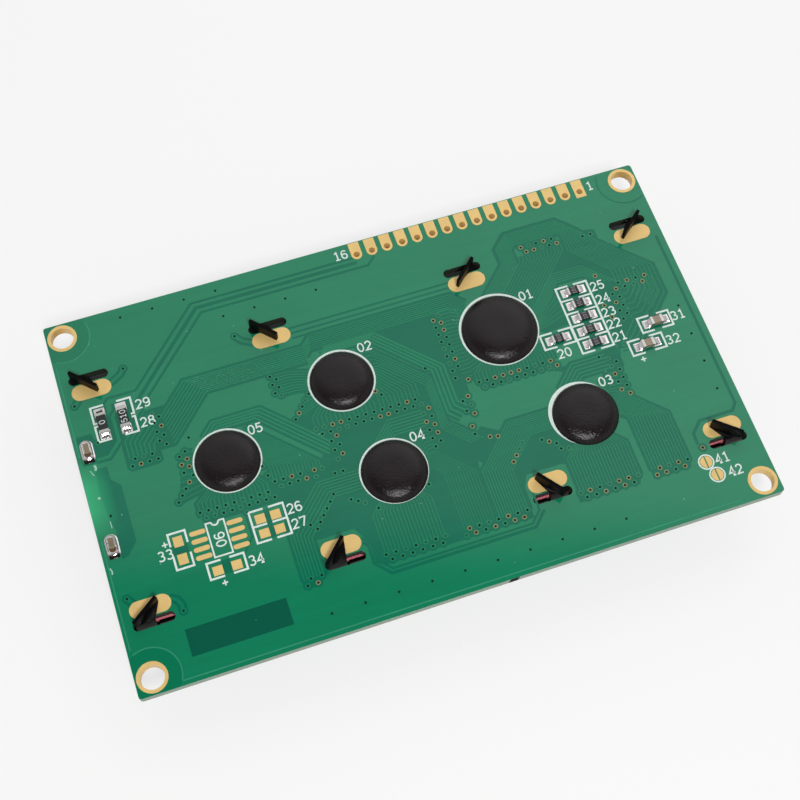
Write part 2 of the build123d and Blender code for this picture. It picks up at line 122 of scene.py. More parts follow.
class FlatWork:
    """Collects flat outlines and rings, and makes them one mesh of thin prisms."""

    def __init__(self, height, base=None):
        self.base = BOARD_TOP if base is None else base
        self.height = height
        self.verts = []
        self.faces = []
        self.shapes = 0
        self.levels = []

    def free_level(self, points):
        """The lowest hair-thin step on which nothing overlaps this shape, so no two tops share a plane."""
        xs, ys = [x for x, _ in points], [y for _, y in points]
        box = (min(xs), max(xs), min(ys), max(ys))
        step = 0
        while step < len(self.levels) and any(boxes_meet(box, other) for other in self.levels[step]):
            step += 1
        if step == len(self.levels):
            self.levels.append([])
        self.levels[step].append(box)
        self.shapes += 1
        return self.base - SINK, self.base + self.height + step * LEVEL_STEP

    def outline(self, points):
        """A filled shape, given by its corners in turn."""
        if signed_area(points) < 0:
            points = points[::-1]
        low, high = self.free_level(points)
        start, count = len(self.verts), len(points)
        self.verts += [(x, y, high) for x, y in points] + [(x, y, low) for x, y in points]
        self.faces.append([start + i for i in range(count)])
        self.faces.append([start + count + i for i in reversed(range(count))])
        for i in range(count):
            j = (i + 1) % count
            self.faces.append([start + i, start + count + i, start + count + j, start + j])

    def band(self, outer, inner):
        """The flat band between two loops with as many points: four loops joined by quads."""
        low, high = self.free_level(outer)
        start, steps = len(self.verts), len(outer)
        for loop, z in ((outer, high), (inner, high), (inner, low), (outer, low)):
            self.verts += [(px, py, z) for px, py in loop]
        for loop in range(4):
            here, there = start + loop * steps, start + (loop + 1) % 4 * steps
            for i in range(steps):
                j = (i + 1) % steps
                self.faces.append([here + i, here + j, there + j, there + i])

    def ring(self, x, y, outer, inner, steps):
        self.band(circle(x, y, outer, steps), circle(x, y, inner, steps))

    def disc(self, x, y, radius, steps=16):
        self.outline(circle(x, y, radius, steps))

    def ribbon(self, points, width):
        """A line of constant width with mitred corners."""
        left = offset_line(points, width / 2)
        right = offset_line(points, -width / 2)
        self.outline(left + right[::-1])

    def piece(self, name, material, slot="green_laminate"):
        """Turn what was collected into a piece."""
        print(self.shapes, "shapes on", len(self.levels), "levels")
        make_piece(name, self.verts, self.faces, material)


# %% [markdown]
# ## Shared finishes
#
# Solder mask is a glossy green lacquer. It hides the copper and the bare laminate alike, but over
# copper it looks lighter. Both materials need the same faint mottling and ripple, so these are one
# node group, and each material gives it its own green. The group puts out only a colour, a roughness
# and a height; the shader stays in the material.

# %% Materials and plain values
def new_material(name):
    material = bpy.data.materials.new(name)
    material.use_nodes = True
    shader = material.node_tree.nodes["Principled BSDF"]
    return material, material.node_tree, shader


def set_values(shader, **values):
    """Plain numbers and colours go straight on the shader's own sockets."""
    for key, value in values.items():
        socket = shader.inputs[key.replace("_", " ").title().replace("Ior", "IOR")]
        socket.default_value = (*value, 1.0) if isinstance(value, tuple) else value


# %% Where a point is on the part, and noise there
def own_place(tree):
    """The part's own coordinates, in metres."""
    return tree.nodes.new("ShaderNodeTexCoord").outputs["Object"]


def own_xyz(tree):
    """The same, split into X, Y and Z."""
    split = tree.nodes.new("ShaderNodeSeparateXYZ")
    tree.links.new(own_place(tree), split.inputs[0])
    return split.outputs


def noise(tree, scale, detail=2.0, roughness=0.5):
    """Noise over the part's own coordinates, with its scale given in bumps per millimetre."""
    texture = tree.nodes.new("ShaderNodeTexNoise")
    texture.inputs["Scale"].default_value = scale / MM
    texture.inputs["Detail"].default_value = detail
    texture.inputs["Roughness"].default_value = roughness
    tree.links.new(own_place(tree), texture.inputs["Vector"])
    return texture.outputs["Fac"]


# %% Colours and sums
def ramp(tree, source, stops):
    """A colour ramp: stops are (place, colour) pairs."""
    node = tree.nodes.new("ShaderNodeValToRGB")
    elements = node.color_ramp.elements
    while len(elements) < len(stops):
        elements.new(0.5)
    for element, (place, colour) in zip(elements, stops):
        element.position = place
        element.color = (*colour, 1.0)
    tree.links.new(source, node.inputs["Fac"])
    return node.outputs["Color"]


def mix_colours(tree, factor, first, second):
    """Mix two colours or colour sockets by a number or a number socket."""
    node = tree.nodes.new("ShaderNodeMix")
    node.data_type = "RGBA"
    for name, value in (("Factor", factor), ("A", first), ("B", second)):
        kind = "VALUE" if name == "Factor" else "RGBA"
        socket = next(s for s in node.inputs if s.name == name and s.type == kind)
        if isinstance(value, bpy.types.NodeSocket):
            tree.links.new(value, socket)
        else:
            socket.default_value = (*value, 1.0) if isinstance(value, tuple) else value
    return next(s for s in node.outputs if s.type == "RGBA")


def math_node(tree, operation, *values):
    node = tree.nodes.new("ShaderNodeMath")
    node.operation = operation
    for socket, value in zip(node.inputs, values):
        if isinstance(value, bpy.types.NodeSocket):
            tree.links.new(value, socket)
        else:
            socket.default_value = value
    return node.outputs[0]


def map_range(tree, source, from_low, from_high, to_low, to_high):
    node = tree.nodes.new("ShaderNodeMapRange")
    node.inputs["From Min"].default_value = from_low
    node.inputs["From Max"].default_value = from_high
    node.inputs["To Min"].default_value = to_low
    node.inputs["To Max"].default_value = to_high
    tree.links.new(source, node.inputs["Value"])
    return node.outputs["Result"]


def bump(tree, shader, height, strength, distance):
    """A bump's distance is given in millimetres."""
    node = tree.nodes.new("ShaderNodeBump")
    node.inputs["Strength"].default_value = strength
    node.inputs["Distance"].default_value = distance * MM
    tree.links.new(height, node.inputs["Height"])
    tree.links.new(node.outputs["Normal"], shader.inputs["Normal"])


# %% Node groups
def new_group(name, inputs, outputs):
    """An empty node group with named sockets: (name, kind, value) in, (name, kind) out."""
    group = bpy.data.node_groups.new(name, "ShaderNodeTree")
    for label, kind, value in inputs:
        socket = group.interface.new_socket(label, in_out="INPUT", socket_type=kind)
        socket.default_value = (*value, 1.0) if isinstance(value, tuple) else value
    for label, kind in outputs:
        group.interface.new_socket(label, in_out="OUTPUT", socket_type=kind)
    start = group.nodes.new("NodeGroupInput")
    end = group.nodes.new("NodeGroupOutput")
    return group, start.outputs, end.inputs


def place_group(tree, group, **values):
    node = tree.nodes.new("ShaderNodeGroup")
    node.node_tree = group
    for key, value in values.items():
        socket = node.inputs[key.replace("_", " ").title()]
        socket.default_value = (*value, 1.0) if isinstance(value, tuple) else value
    return node


# %% Mottled surface, used by every coated or plated finish
PATCH_DETAIL, GRAIN_DETAIL, GRAIN_SHARE = 3.0, 1.0, 0.4
STREAK_STRETCH, STREAK_SCALE = (0.05, 1.0, 1.0), 1.1


def mottle_group():
    group, given, result = new_group(
        "mottled surface",
        [("Colour", "NodeSocketColor", (0.5, 0.5, 0.5)), ("Depth", "NodeSocketFloat", 0.1),
         ("Patch Scale", "NodeSocketFloat", 200.0), ("Grain Scale", "NodeSocketFloat", 4000.0),
         ("Roughness", "NodeSocketFloat", 0.3), ("Unevenness", "NodeSocketFloat", 0.1),
         ("Streaks", "NodeSocketFloat", 0.0)],
        [("Colour", "NodeSocketColor"), ("Roughness", "NodeSocketFloat"), ("Height", "NodeSocketFloat")])
    place = own_place(group)
    patches = group.nodes.new("ShaderNodeTexNoise")
    patches.inputs["Detail"].default_value = PATCH_DETAIL
    grain = group.nodes.new("ShaderNodeTexNoise")
    grain.inputs["Detail"].default_value = GRAIN_DETAIL
    for texture, scale in ((patches, "Patch Scale"), (grain, "Grain Scale")):
        group.links.new(place, texture.inputs["Vector"])
        group.links.new(given[scale], texture.inputs["Scale"])
    stretch = group.nodes.new("ShaderNodeVectorMath")
    stretch.operation = "MULTIPLY"
    stretch.inputs[1].default_value = STREAK_STRETCH
    streaks = group.nodes.new("ShaderNodeTexNoise")
    streaks.inputs["Scale"].default_value = STREAK_SCALE / MM
    group.links.new(place, stretch.inputs[0])
    group.links.new(stretch.outputs[0], streaks.inputs["Vector"])
    swing, fine, stripe = (math_node(group, "SUBTRACT", texture.outputs["Fac"], 0.5)
                           for texture in (patches, grain, streaks))
    both = math_node(group, "ADD", swing, math_node(group, "MULTIPLY", fine, GRAIN_SHARE))
    streaky = math_node(group, "MULTIPLY", stripe, given["Streaks"])
    tone = math_node(group, "MULTIPLY_ADD", both, given["Depth"], math_node(group, "ADD", streaky, 1.0))
    scaled = group.nodes.new("ShaderNodeVectorMath")
    scaled.operation = "SCALE"
    group.links.new(given["Colour"], scaled.inputs[0])
    group.links.new(tone, scaled.inputs["Scale"])
    group.links.new(scaled.outputs[0], result["Colour"])
    rougher = math_node(group, "MULTIPLY", swing, given["Unevenness"])
    group.links.new(math_node(group, "ADD", given["Roughness"], rougher), result["Roughness"])
    group.links.new(both, result["Height"])
    return group


MOTTLE = mottle_group()
print(MOTTLE.name, "has", len(MOTTLE.nodes), "nodes")


# %% A whole material from the mottled surface
def mottle(tree, shader, colour, roughness, depth=0.2, patch=0.2, grain=4.0, unevenness=0.1, streaks=0.0):
    """Lay the shared surface on a shader. patch and grain are in bumps per millimetre."""
    surface = place_group(tree, MOTTLE, colour=colour, depth=depth, patch_scale=patch / MM,
                          grain_scale=grain / MM, roughness=roughness, unevenness=unevenness,
                          streaks=streaks)
    tree.links.new(surface.outputs["Colour"], shader.inputs["Base Color"])
    tree.links.new(surface.outputs["Roughness"], shader.inputs["Roughness"])
    return surface.outputs


def mottled(name, colour, roughness, depth=0.2, patch=0.2, grain=4.0, unevenness=0.1, streaks=0.0,
            ripple=0.2, ripple_depth=0.02, **shader_values):
    """A finish with patches, a fine grain and a rippled surface."""
    material, tree, shader = new_material(name)
    surface = mottle(tree, shader, colour, roughness, depth, patch, grain, unevenness, streaks)
    bump(tree, shader, surface["Height"], ripple, ripple_depth)
    set_values(shader, **shader_values)
    return material


# %% [markdown]
# ## The board
#
# A board is cut from glass-epoxy sheet, so its faces are green and its sawn edges are pale. One
# material tells them apart by which way a surface faces: the height part of its normal is near one
# on a face and near zero on an edge or a hole wall. The walls inside the board are the drilled slots,
# which are painted near-black as shade, so a wall counts as sawn edge only near the outline. The mask
# over copper is lighter than the mask over bare laminate, so there are two greens. Between the two
# leads no copper lies under the left edge, and light shines through the board there. Both greens show
# it, so it is a second node group, which mixes a brighter green in by the distance from the edge.

# %% Greens and edge colours
GREEN_OVER_COPPER = (0.004, 0.211, 0.101)
GREEN_OVER_LAMINATE = (0.002, 0.154, 0.087)
GREEN_AT_CORNER = (0.000, 0.182, 0.086)
GREEN_PAINTED_RIDGE_HIGHLIGHT = (0.022, 0.275, 0.150)
GREEN_LIT_THROUGH = (0.022, 0.417, 0.175)
EDGE_COLOUR = (0.34, 0.42, 0.34)
# Near-black for the walls of the slots inside the board: painted shade.
SLOT_WALL_PAINTED_SHADE = (0.035, 0.045, 0.030)
MASK_ROUGHNESS = 0.08
MASK_STREAKS = 0.16

# %% Light through the left edge, as a group for both greens
LIT_MIDDLE_Y, LIT_NEAR, LIT_FAR, LIT_DEPTH = 0.4, 2.0, 6.5, 4.0


def lit_edge_group():
    """Brighten a colour near the board's left edge, between the two leads."""
    group, given, result = new_group(
        "light through the edge", [("Colour", "NodeSocketColor", (0.5, 0.5, 0.5))],
        [("Colour", "NodeSocketColor")])
    where = own_xyz(group)
    aside = math_node(group, "ABSOLUTE", math_node(group, "SUBTRACT", where["Y"], LIT_MIDDLE_Y * MM))
    along = map_range(group, aside, LIT_FAR * MM, LIT_NEAR * MM, 0.0, 1.0)
    outward = map_range(group, where["X"], (LIT_DEPTH - HALF_LENGTH) * MM, -HALF_LENGTH * MM, 0.0, 1.0)
    share = math_node(group, "MULTIPLY", along, outward)
    group.links.new(mix_colours(group, share, given["Colour"], GREEN_LIT_THROUGH), result["Colour"])
    return group


LIT_EDGE = lit_edge_group()
print("light comes through the edge up to", LIT_FAR, "mm either side of y", LIT_MIDDLE_Y)


def light_the_edge(tree, shader, colour):
    """Send a colour through the group on its way to the shader."""
    lit = place_group(tree, LIT_EDGE)
    tree.links.new(colour, lit.inputs["Colour"])
    tree.links.new(lit.outputs["Colour"], shader.inputs["Base Color"])


# %% The board's own material
FACE_TILT = 0.7
SAWN_BAND = 0.3
SAWN_ROUGHNESS = 0.7
FIBRE_SHADE = 0.75


def board_material():
    material, tree, shader = new_material("board with mask and sawn edge")
    surface = mottle(tree, shader, GREEN_OVER_COPPER, MASK_ROUGHNESS, depth=0.16, patch=0.09, grain=3.0,
                     unevenness=0.05, streaks=MASK_STREAKS)
    normal = tree.nodes.new("ShaderNodeSeparateXYZ")
    tree.links.new(tree.nodes.new("ShaderNodeNewGeometry").outputs["Normal"], normal.inputs[0])
    on_face = math_node(tree, "GREATER_THAN", math_node(tree, "ABSOLUTE", normal.outputs["Z"]), FACE_TILT)
    where = own_xyz(tree)
    out_x, out_y = (math_node(tree, "GREATER_THAN", math_node(tree, "ABSOLUTE", where[axis]), reach * MM)
                    for axis, reach in (("X", HALF_LENGTH - SAWN_BAND), ("Y", HALF_WIDTH - SAWN_BAND)))
    darker = tuple(FIBRE_SHADE * c for c in EDGE_COLOUR)
    fibres = ramp(tree, noise(tree, 2.5, 4.0), [(0.3, darker), (0.7, EDGE_COLOUR)])
    # Walls away from the outline, which are the slots, take the painted shade colour.
    sides = mix_colours(tree, math_node(tree, "MAXIMUM", out_x, out_y), SLOT_WALL_PAINTED_SHADE, fibres)
    light_the_edge(tree, shader, mix_colours(tree, on_face, sides, surface["Colour"]))
    rough = map_range(tree, on_face, 0.0, 1.0, SAWN_ROUGHNESS, 0.0)
    tree.links.new(math_node(tree, "MAXIMUM", rough, surface["Roughness"]), shader.inputs["Roughness"])
    bump(tree, shader, surface["Height"], 0.15, 0.02)
    return material


BOARD = board_material()


# %% The mask over etched fields, and over traces
def green_mask(name, colour, **more):
    """Solder mask where no copper lies under it."""
    return mottled(name, colour, MASK_ROUGHNESS, depth=0.2, patch=0.12, grain=3.0, unevenness=0.05, **more)


MASK_ON_LAMINATE = green_mask("mask over bare laminate", GREEN_OVER_LAMINATE, streaks=MASK_STREAKS,
                              ripple=0.15, specular_ior_level=0.32)
mask_tree = MASK_ON_LAMINATE.node_tree
mask_shader = mask_tree.nodes["Principled BSDF"]
light_the_edge(mask_tree, mask_shader, mask_shader.inputs["Base Color"].links[0].from_socket)
MASK_ON_COPPER = mottled("mask over copper", GREEN_OVER_COPPER, MASK_ROUGHNESS, depth=0.16, patch=0.09,
                         grain=3.0, unevenness=0.05, streaks=MASK_STREAKS, ripple=0.15,
                         specular_ior_level=0.42)


# %% Dressing the nodes of the CAD frame
def dress(material, *nodes):
    """Give CAD nodes a finish through their own material slots."""
    for node in nodes:
        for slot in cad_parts[node].material_slots:
            slot.material = material
    print(material.name, "on", len(nodes), "nodes")


dress(BOARD, "circuit_board")

# %% [markdown]
# ## Etched areas and traces
#
# Where fine traces run, the copper round them is etched away, and those fields are the darker
# green. A field is drawn once as two edge lines and a number of traces. The traces are spaced evenly
# between the edges, which makes a parallel bundle, a bend or a fan with the same few lines of code.

# %% Heights of the layers above the laminate
ETCHED = 0.004
ISLAND = 0.018
TRACE = 0.032
VIA_PAD = 0.046
VIA_RING = 0.060
VIA_HOLE = 0.064
INK = 0.050

# %% Trace fields: edge line, other edge line, number of traces, width of a trace
THIN = 0.11
FINE = 0.16
PLAIN = 0.2
FIELDS = {
    "long bundle to the left": (
        [(-11.9, 14.8), (-30.8, 14.8), (-35.4, 10.2)],
        [(-11.9, 12.1), (-27.9, 12.1), (-34.6, 5.4)], 9, PLAIN),
    "left bundle to its lower vias": (
        [(-41.5, 4.9), (-41.5, 7.9), (-37.4, 12.0)],
        [(-37.6, 4.9), (-37.6, 6.1), (-36.6, 7.1)], 7, PLAIN),
    "over the middle chip": (
        [(-11.9, 14.8), (-10.4, 16.3), (12.6, 16.3), (14.6, 14.3)],
        [(-11.9, 12.9), (-10.9, 13.9), (11.4, 13.9), (13.4, 11.9)], 8, FINE),
    "wide run past the middle chip": (
        [(-9.0, 13.6), (-0.8, 13.6), (7.7, 5.1), (7.7, -1.2), (8.9, -2.4)],
        [(-9.8, 12.6), (-2.0, 12.6), (5.7, 4.8), (5.7, -2.7), (7.2, -4.2)], 4, 0.34),
    "middle chip, right side": (
        [(-4.4, 11.6), (-2.8, 11.6), (5.1, 3.7), (5.1, -3.9), (9.4, -8.2)],
        [(-3.4, 8.6), (-1.9, 8.6), (4.0, 2.7), (4.0, -4.9), (7.5, -8.4)], 5, FINE),
    "middle chip, right comb": (
        [(-3.2, 8.2), (-1.9, 8.0), (2.5, 3.6), (2.5, 1.2)],
        [(-3.8, 4.4), (-3.6, 3.6), (-3.6, 2.6), (-3.6, 1.2)], 11, FINE),
    "middle chip, lower comb": (
        [(-12.2, 4.6), (-14.0, 2.8), (-14.0, 1.2)],
        [(-5.0, 3.4), (-4.4, 2.6), (-4.4, 1.2)], 15, FINE),
    "middle chip, left side": (
        [(-12.2, 10.4), (-15.4, 11.4), (-17.2, 11.4)],
        [(-12.9, 7.6), (-15.0, 8.0), (-17.2, 8.0)], 8, FINE),
    "middle chip, lower left": (
        [(-12.7, 6.9), (-13.6, 6.7)],
        [(-12.0, 5.0), (-16.2, 3.5)], 6, FINE),
    "left chip, top run": (
        [(-30.5, 4.9), (-28.5, 6.9), (-21.0, 6.9), (-13.6, -0.5), (-12.6, -1.6)],
        [(-29.2, 4.1), (-27.7, 5.5), (-22.1, 5.5), (-14.3, -2.3), (-13.2, -3.4)], 4, 0.32),
    "left chip, right side": (
        [(-24.4, 4.8), (-23.9, 4.8), (-15.1, -4.0), (-15.1, -5.0)],
        [(-23.0, -0.8), (-22.9, -1.4), (-22.3, -2.6), (-22.3, -4.9)], 15, FINE),
    "left chip, lower comb": (
        [(-31.8, -3.2), (-33.9, -5.0), (-33.9, -7.2)],
        [(-24.4, -3.6), (-23.4, -5.0), (-23.4, -7.2)], 18, FINE),
    "left chip, left side": (
        [(-32.4, 3.3), (-34.2, 3.5)],
        [(-31.9, -2.9), (-36.2, -3.8)], 9, FINE),
    "upper right chip, left comb": (
        [(13.6, 13.0), (11.6, 14.0), (9.8, 14.0)],
        [(13.6, 3.8), (11.4, 2.8), (9.8, 2.8)], 18, FINE),
    "upper right chip, lower comb": (
        [(13.8, 4.0), (11.7, 2.2), (11.7, 0.7)],
        [(22.6, 3.8), (24.3, 2.1), (24.3, 0.7)], 22, FINE),
    "upper right chip, round the top": (
        [(17.5, 14.1), (22.4, 18.9), (22.4, 21.7), (24.6, 23.8), (33.2, 23.8), (36.1, 20.9), (38.3, 18.3)],
        [(20.3, 13.6), (24.6, 17.9), (24.6, 20.9), (25.2, 21.5), (32.7, 21.5), (33.3, 20.9), (33.3, 17.9)],
        10, FINE),
    "right side, down to the vias": (
        [(38.3, 18.3), (45.0, 11.6), (45.0, 6.3), (42.4, 3.7)],
        [(33.3, 17.9), (38.5, 12.7), (38.5, 10.8), (38.5, 10.3)], 11, FINE),
    "right side, under the vias": (
        [(44.1, 9.9), (44.1, 6.9), (40.5, 3.3), (38.8, 3.3)],
        [(39.3, 9.7), (39.3, 9.3), (38.9, 8.9), (38.5, 8.9)], 7, FINE),
    "right side, lowest run": (
        [(42.4, 3.7), (37.6, -1.1)],
        [(38.6, 3.3), (35.6, 0.3)], 4, PLAIN),
    "upper right chip, from the vias": (
        [(25.3, 19.3), (25.3, 18.4), (20.9, 14.0)],
        [(32.5, 19.3), (32.5, 18.3), (24.2, 10.0)], 13, FINE),
    "upper right chip, over the resistors": (
        [(24.3, 9.9), (29.1, 14.7), (34.2, 14.7), (38.6, 10.3)],
        [(24.1, 7.8), (29.4, 13.1), (33.8, 13.1), (35.3, 11.6)], 5, PLAIN),
    "upper right chip, right side": (
        [(24.1, 7.4), (28.4, 11.7)],
        [(23.9, 6.1), (28.4, 7.4)], 6, FINE),
    "lower middle chip, upper run": (
        [(-6.6, -4.2), (-3.4, -1.0), (2.0, -1.0)],
        [(-3.9, -4.4), (-3.1, -3.6), (2.0, -3.6)], 6, 0.22),
    "lower middle chip, right side": (
        [(-0.7, -6.0), (0.6, -4.4), (2.0, -4.4)],
        [(0.0, -8.0), (1.0, -7.3), (2.0, -7.3)], 6, FINE),
    "lower middle chip, right and down": (
        [(0.0, -10.2), (0.5, -10.3), (1.9, -11.7), (1.9, -20.9)],
        [(0.2, -7.9), (1.8, -7.9), (6.5, -12.6), (6.5, -20.9)], 11, THIN),
    "lower right chip, left and down": (
        [(20.4, -6.9), (13.7, -6.9), (7.4, -13.2), (7.4, -20.9)],
        [(20.1, -9.9), (16.2, -9.9), (11.7, -14.4), (11.7, -20.9)], 11, FINE),
    "lower middle chip, lower comb": (
        [(-8.4, -12.9), (-10.2, -14.7), (-10.2, -20.9)],
        [(-2.4, -13.2), (-1.1, -14.5), (-1.1, -20.9)], 18, FINE),
    "lower middle chip, left side": (
        [(-9.9, -7.2), (-16.4, -7.2), (-22.5, -13.3), (-22.5, -20.9)],
        [(-10.2, -10.1), (-14.6, -10.1), (-19.6, -15.1), (-19.6, -20.9)], 7, PLAIN),
    "lower right chip, upper run": (
        [(23.0, -4.2), (26.4, -0.9), (31.9, -0.9)],
        [(26.2, -4.2), (27.2, -3.3), (31.9, -3.3)], 5, 0.26),
    "lower right chip, right side": (
        [(29.2, -5.4), (31.2, -4.2), (32.4, -4.2)],
        [(30.3, -7.0), (31.8, -7.4), (33.1, -7.9)], 6, FINE),
    "lower right chip, right and down": (
        [(30.2, -11.0), (30.6, -11.0), (31.5, -11.9), (31.5, -20.9)],
        [(30.2, -7.6), (32.0, -7.6), (37.4, -13.0), (37.4, -20.9)], 13, FINE),
    "lower right chip, lower comb": (
        [(22.2, -13.2), (20.1, -15.3), (20.1, -20.9)],
        [(27.8, -13.6), (29.5, -15.3), (29.5, -20.9)], 20, FINE),
}
FIELD_MARGIN = 0.55
etched = FlatWork(ETCHED)
traces = FlatWork(TRACE)
for edge_a, edge_b, count, width in FIELDS.values():
    for i in range(len(edge_a) - 1):
        etched.outline([edge_a[i], edge_a[i + 1], edge_b[i + 1], edge_b[i]])
    for edge in (edge_a, edge_b):
        etched.ribbon(edge, 2 * FIELD_MARGIN)
    for i in range(count):
        traces.ribbon(between(edge_a, edge_b, i / (count - 1)), width)
print(len(FIELDS), "fields with", traces.shapes, "traces")

# %% Flat areas with no copper, beside the fields
CLEARED = [
    # between the middle and the upper right chip
    [(-0.2, 13.9), (12.0, 13.9), (14.0, 11.0), (11.0, 7.0), (10.2, 2.4), (9.9, -0.9), (8.0, -0.9),
     (8.0, 5.2)],
    # under the middle chip, round the lower middle chip
    [(-14.4, 1.4), (4.2, 1.4), (4.2, -7.6), (1.4, -8.2), (-9.6, -8.2), (-13.4, -7.0), (-15.2, -4.6),
     (-12.6, -1.2)],
    [(3.7, -4.6), (3.7, -7.9), (8.2, -12.2), (12.4, -8.0), (9.6, -6.2), (7.2, -8.4)],
    [(1.4, -8.2), (4.0, -7.6), (7.4, -11.0), (7.0, -14.0), (5.6, -12.4)],
    [(-10.9, -13.0), (-8.0, -13.2), (-2.0, -13.4), (1.4, -11.4), (12.2, -15.0), (12.2, -22.3),
     (-10.9, -22.3)],
    [(14.0, -10.0), (20.4, -9.6), (21.8, -13.0), (19.6, -14.9), (11.9, -14.9)],
    [(-20.6, -14.2), (-10.8, -13.0), (-10.8, -22.3), (-11.9, -21.6), (-11.9, -18.4), (-13.4, -15.7),
     (-19.8, -15.7)],
    [(11.9, -14.6), (19.8, -14.6), (19.8, -16.0), (18.9, -15.7), (13.4, -15.7), (12.5, -17.6),
     (12.5, -20.8), (11.9, -21.4)],
    [(-0.9, -10.2), (1.9, -10.2), (1.9, -13.4), (-1.6, -13.4)],
    [(-10.6, -10.6), (-8.6, -12.4), (-8.6, -13.6), (-11.0, -13.4)],
    [(-16.3, 3.2), (-13.5, 4.6), (-13.5, 1.2), (-15.2, 1.2)],
    [(2.6, 3.6), (4.2, 3.6), (4.2, 1.2), (2.6, 1.2)],
    # left of the lower middle chip
    [(-10.3, -7.0), (-9.8, -12.4), (-11.4, -13.6), (-18.6, -14.9), (-19.0, -14.0), (-14.4, -9.6)],
    [(-22.6, -4.4), (-14.8, -4.4), (-11.6, -5.8), (-10.4, -7.6), (-16.6, -7.3), (-22.9, -13.6),
     (-22.2, -8.4), (-22.6, -8.2)],
    [(-34.4, -5.6), (-22.6, -5.6), (-22.6, -8.3), (-33.6, -8.3)],
    # in the loops of the upper right
    [(28.9, 14.9), (33.3, 18.9), (37.0, 15.0), (38.5, 12.4), (38.6, 9.2), (36.6, 3.4), (34.4, 4.0),
     (34.2, 13.0)],
    [(24.4, 12.2), (28.4, 16.2), (29.6, 14.4), (25.2, 10.2)],
    [(23.9, 6.0), (28.6, 11.9), (28.6, 5.6), (24.6, 5.3)],
    [(39.2, 9.4), (44.4, 9.4), (44.4, 6.7), (38.4, 3.0)],
    [(34.4, 4.2), (38.4, 4.2), (38.4, 2.6), (35.0, -0.8), (34.4, -0.8)],
    [(23.0, -1.0), (34.2, 0.0), (34.2, -3.6), (32.0, -4.6)],
    [(35.8, 21.0), (38.5, 20.5), (38.5, 18.2), (35.4, 18.6)],
    # along the left edge
    [(-46.8, 4.9), (-45.0, 4.9), (-45.0, 2.7), (-43.7, 1.4), (-43.7, -7.6), (-45.2, -9.4),
     (-46.3, -9.7), (-46.1, -5.2), (-46.6, -3.0), (-47.0, 1.0)],
    [(-48.3, 10.7), (-46.0, 10.7), (-45.7, 9.3), (-42.8, 9.3), (-42.8, 8.4), (-44.3, 6.85),
     (-45.9, 6.85), (-46.0, 5.8), (-48.3, 5.8)],
    [(-42.1, 14.5), (-39.3, 14.5), (-39.3, 9.2), (-36.9, 11.9), (-34.3, 11.9), (-34.3, 4.9),
     (-36.9, 4.9), (-37.2, 6.8), (-42.1, 6.8)],
    [(-42.2, 7.3), (-37.0, 7.3), (-36.7, 3.4), (-37.6, 2.9), (-41.6, 2.9), (-42.2, 3.4)],
    # under the via rows of the lower edge
    [(19.4, -20.4), (29.9, -20.4), (29.0, -22.3), (19.4, -22.3)],
    [(31.2, -20.4), (37.9, -20.4), (37.2, -22.3), (31.2, -22.3)],
    [(-23.1, -20.4), (-18.9, -20.4), (-20.6, -22.3), (-22.6, -22.3)],
    # inside the printed boxes
    [(29.0, 0.4), (33.7, 0.4), (33.7, 11.8), (29.0, 11.8)],
    [(23.7, 2.7), (28.5, 2.7), (28.5, 4.9), (23.7, 4.9)],
    [(39.2, 0.8), (44.0, 0.8), (44.0, 3.0), (39.2, 3.0)],
    [(36.3, -2.4), (41.5, -2.4), (41.5, -0.3), (36.3, -0.3)],
    [(-45.0, 9.1), (-42.9, 9.1), (-42.9, 14.6), (-45.0, 14.6)],
    [(-33.0, -16.4), (-31.7, -16.4), (-31.7, -14.3), (-33.0, -14.3)],
    [(-39.1, -11.6), (-36.9, -11.6), (-36.9, -10.2), (-39.1, -10.2)],
    [(-25.1, -13.3), (-24.3, -13.3), (-24.3, -8.8), (-25.1, -8.8)],
]
for area in CLEARED:
    etched.outline(area)
print(len(CLEARED), "cleared areas")

# %% Clearance lines round single wide traces, each with its width
CHANNEL_SPREAD = 1.3
CHANNELS = [
    ([(0.6, 27.25), (-26.3, 27.25), (-38.0, 15.55), (-42.4, 15.55), (-43.6, 14.3)], 0.32),
    ([(0.6, 26.3), (-25.7, 26.3), (-38.6, 13.4)], 0.46),
    ([(3.6, 26.6), (2.2, 25.3), (-25.1, 25.3), (-37.8, 12.6)], 0.32),
    ([(-13.0, 18.4), (13.1, 18.4)], 0.26), ([(-13.0, 17.5), (13.1, 17.5)], 0.26),
    ([(-13.0, 16.62), (-10.8, 16.62)], 0.26), ([(12.6, 16.62), (13.1, 16.62)], 0.26),
    ([(47.8, 16.2), (47.8, -14.6), (46.9, -15.7), (41.4, -15.7), (39.7, -17.4), (39.6, -19.2)], 0.36),
    ([(19.0, 15.9), (21.9, 18.7), (21.9, 21.9), (24.4, 24.3), (33.4, 24.3), (36.4, 21.3),
     (36.6, 20.7)], 0.24),
    ([(38.6, 20.4), (38.6, 18.5), (45.5, 11.6), (45.5, 6.1), (42.6, 3.2)], 0.24),
    ([(34.4, -0.4), (34.4, -1.4), (33.6, -2.2)], 0.2), ([(36.0, -1.3), (34.9, -1.3)], 0.2),
    ([(-27.7, -8.9), (-27.7, -12.2), (-29.3, -14.2)], 0.22),
    ([(-12.9, -17.3), (-11.7, -18.6), (-11.7, -21.3), (-9.9, -23.1), (11.6, -23.1), (13.3, -21.4),
     (13.3, -18.8)], 0.26),
    ([(-12.9, -18.0), (-12.2, -18.7), (-12.2, -21.6), (-10.2, -23.75), (11.9, -23.75),
     (14.0, -21.6)], 0.36),
    ([(-14.9, -7.7), (-14.6, -7.4)], 0.2),
]
for line, width in CHANNELS:
    etched.ribbon(line, width * CHANNEL_SPREAD)
print(len(CHANNELS), "clearance lines")

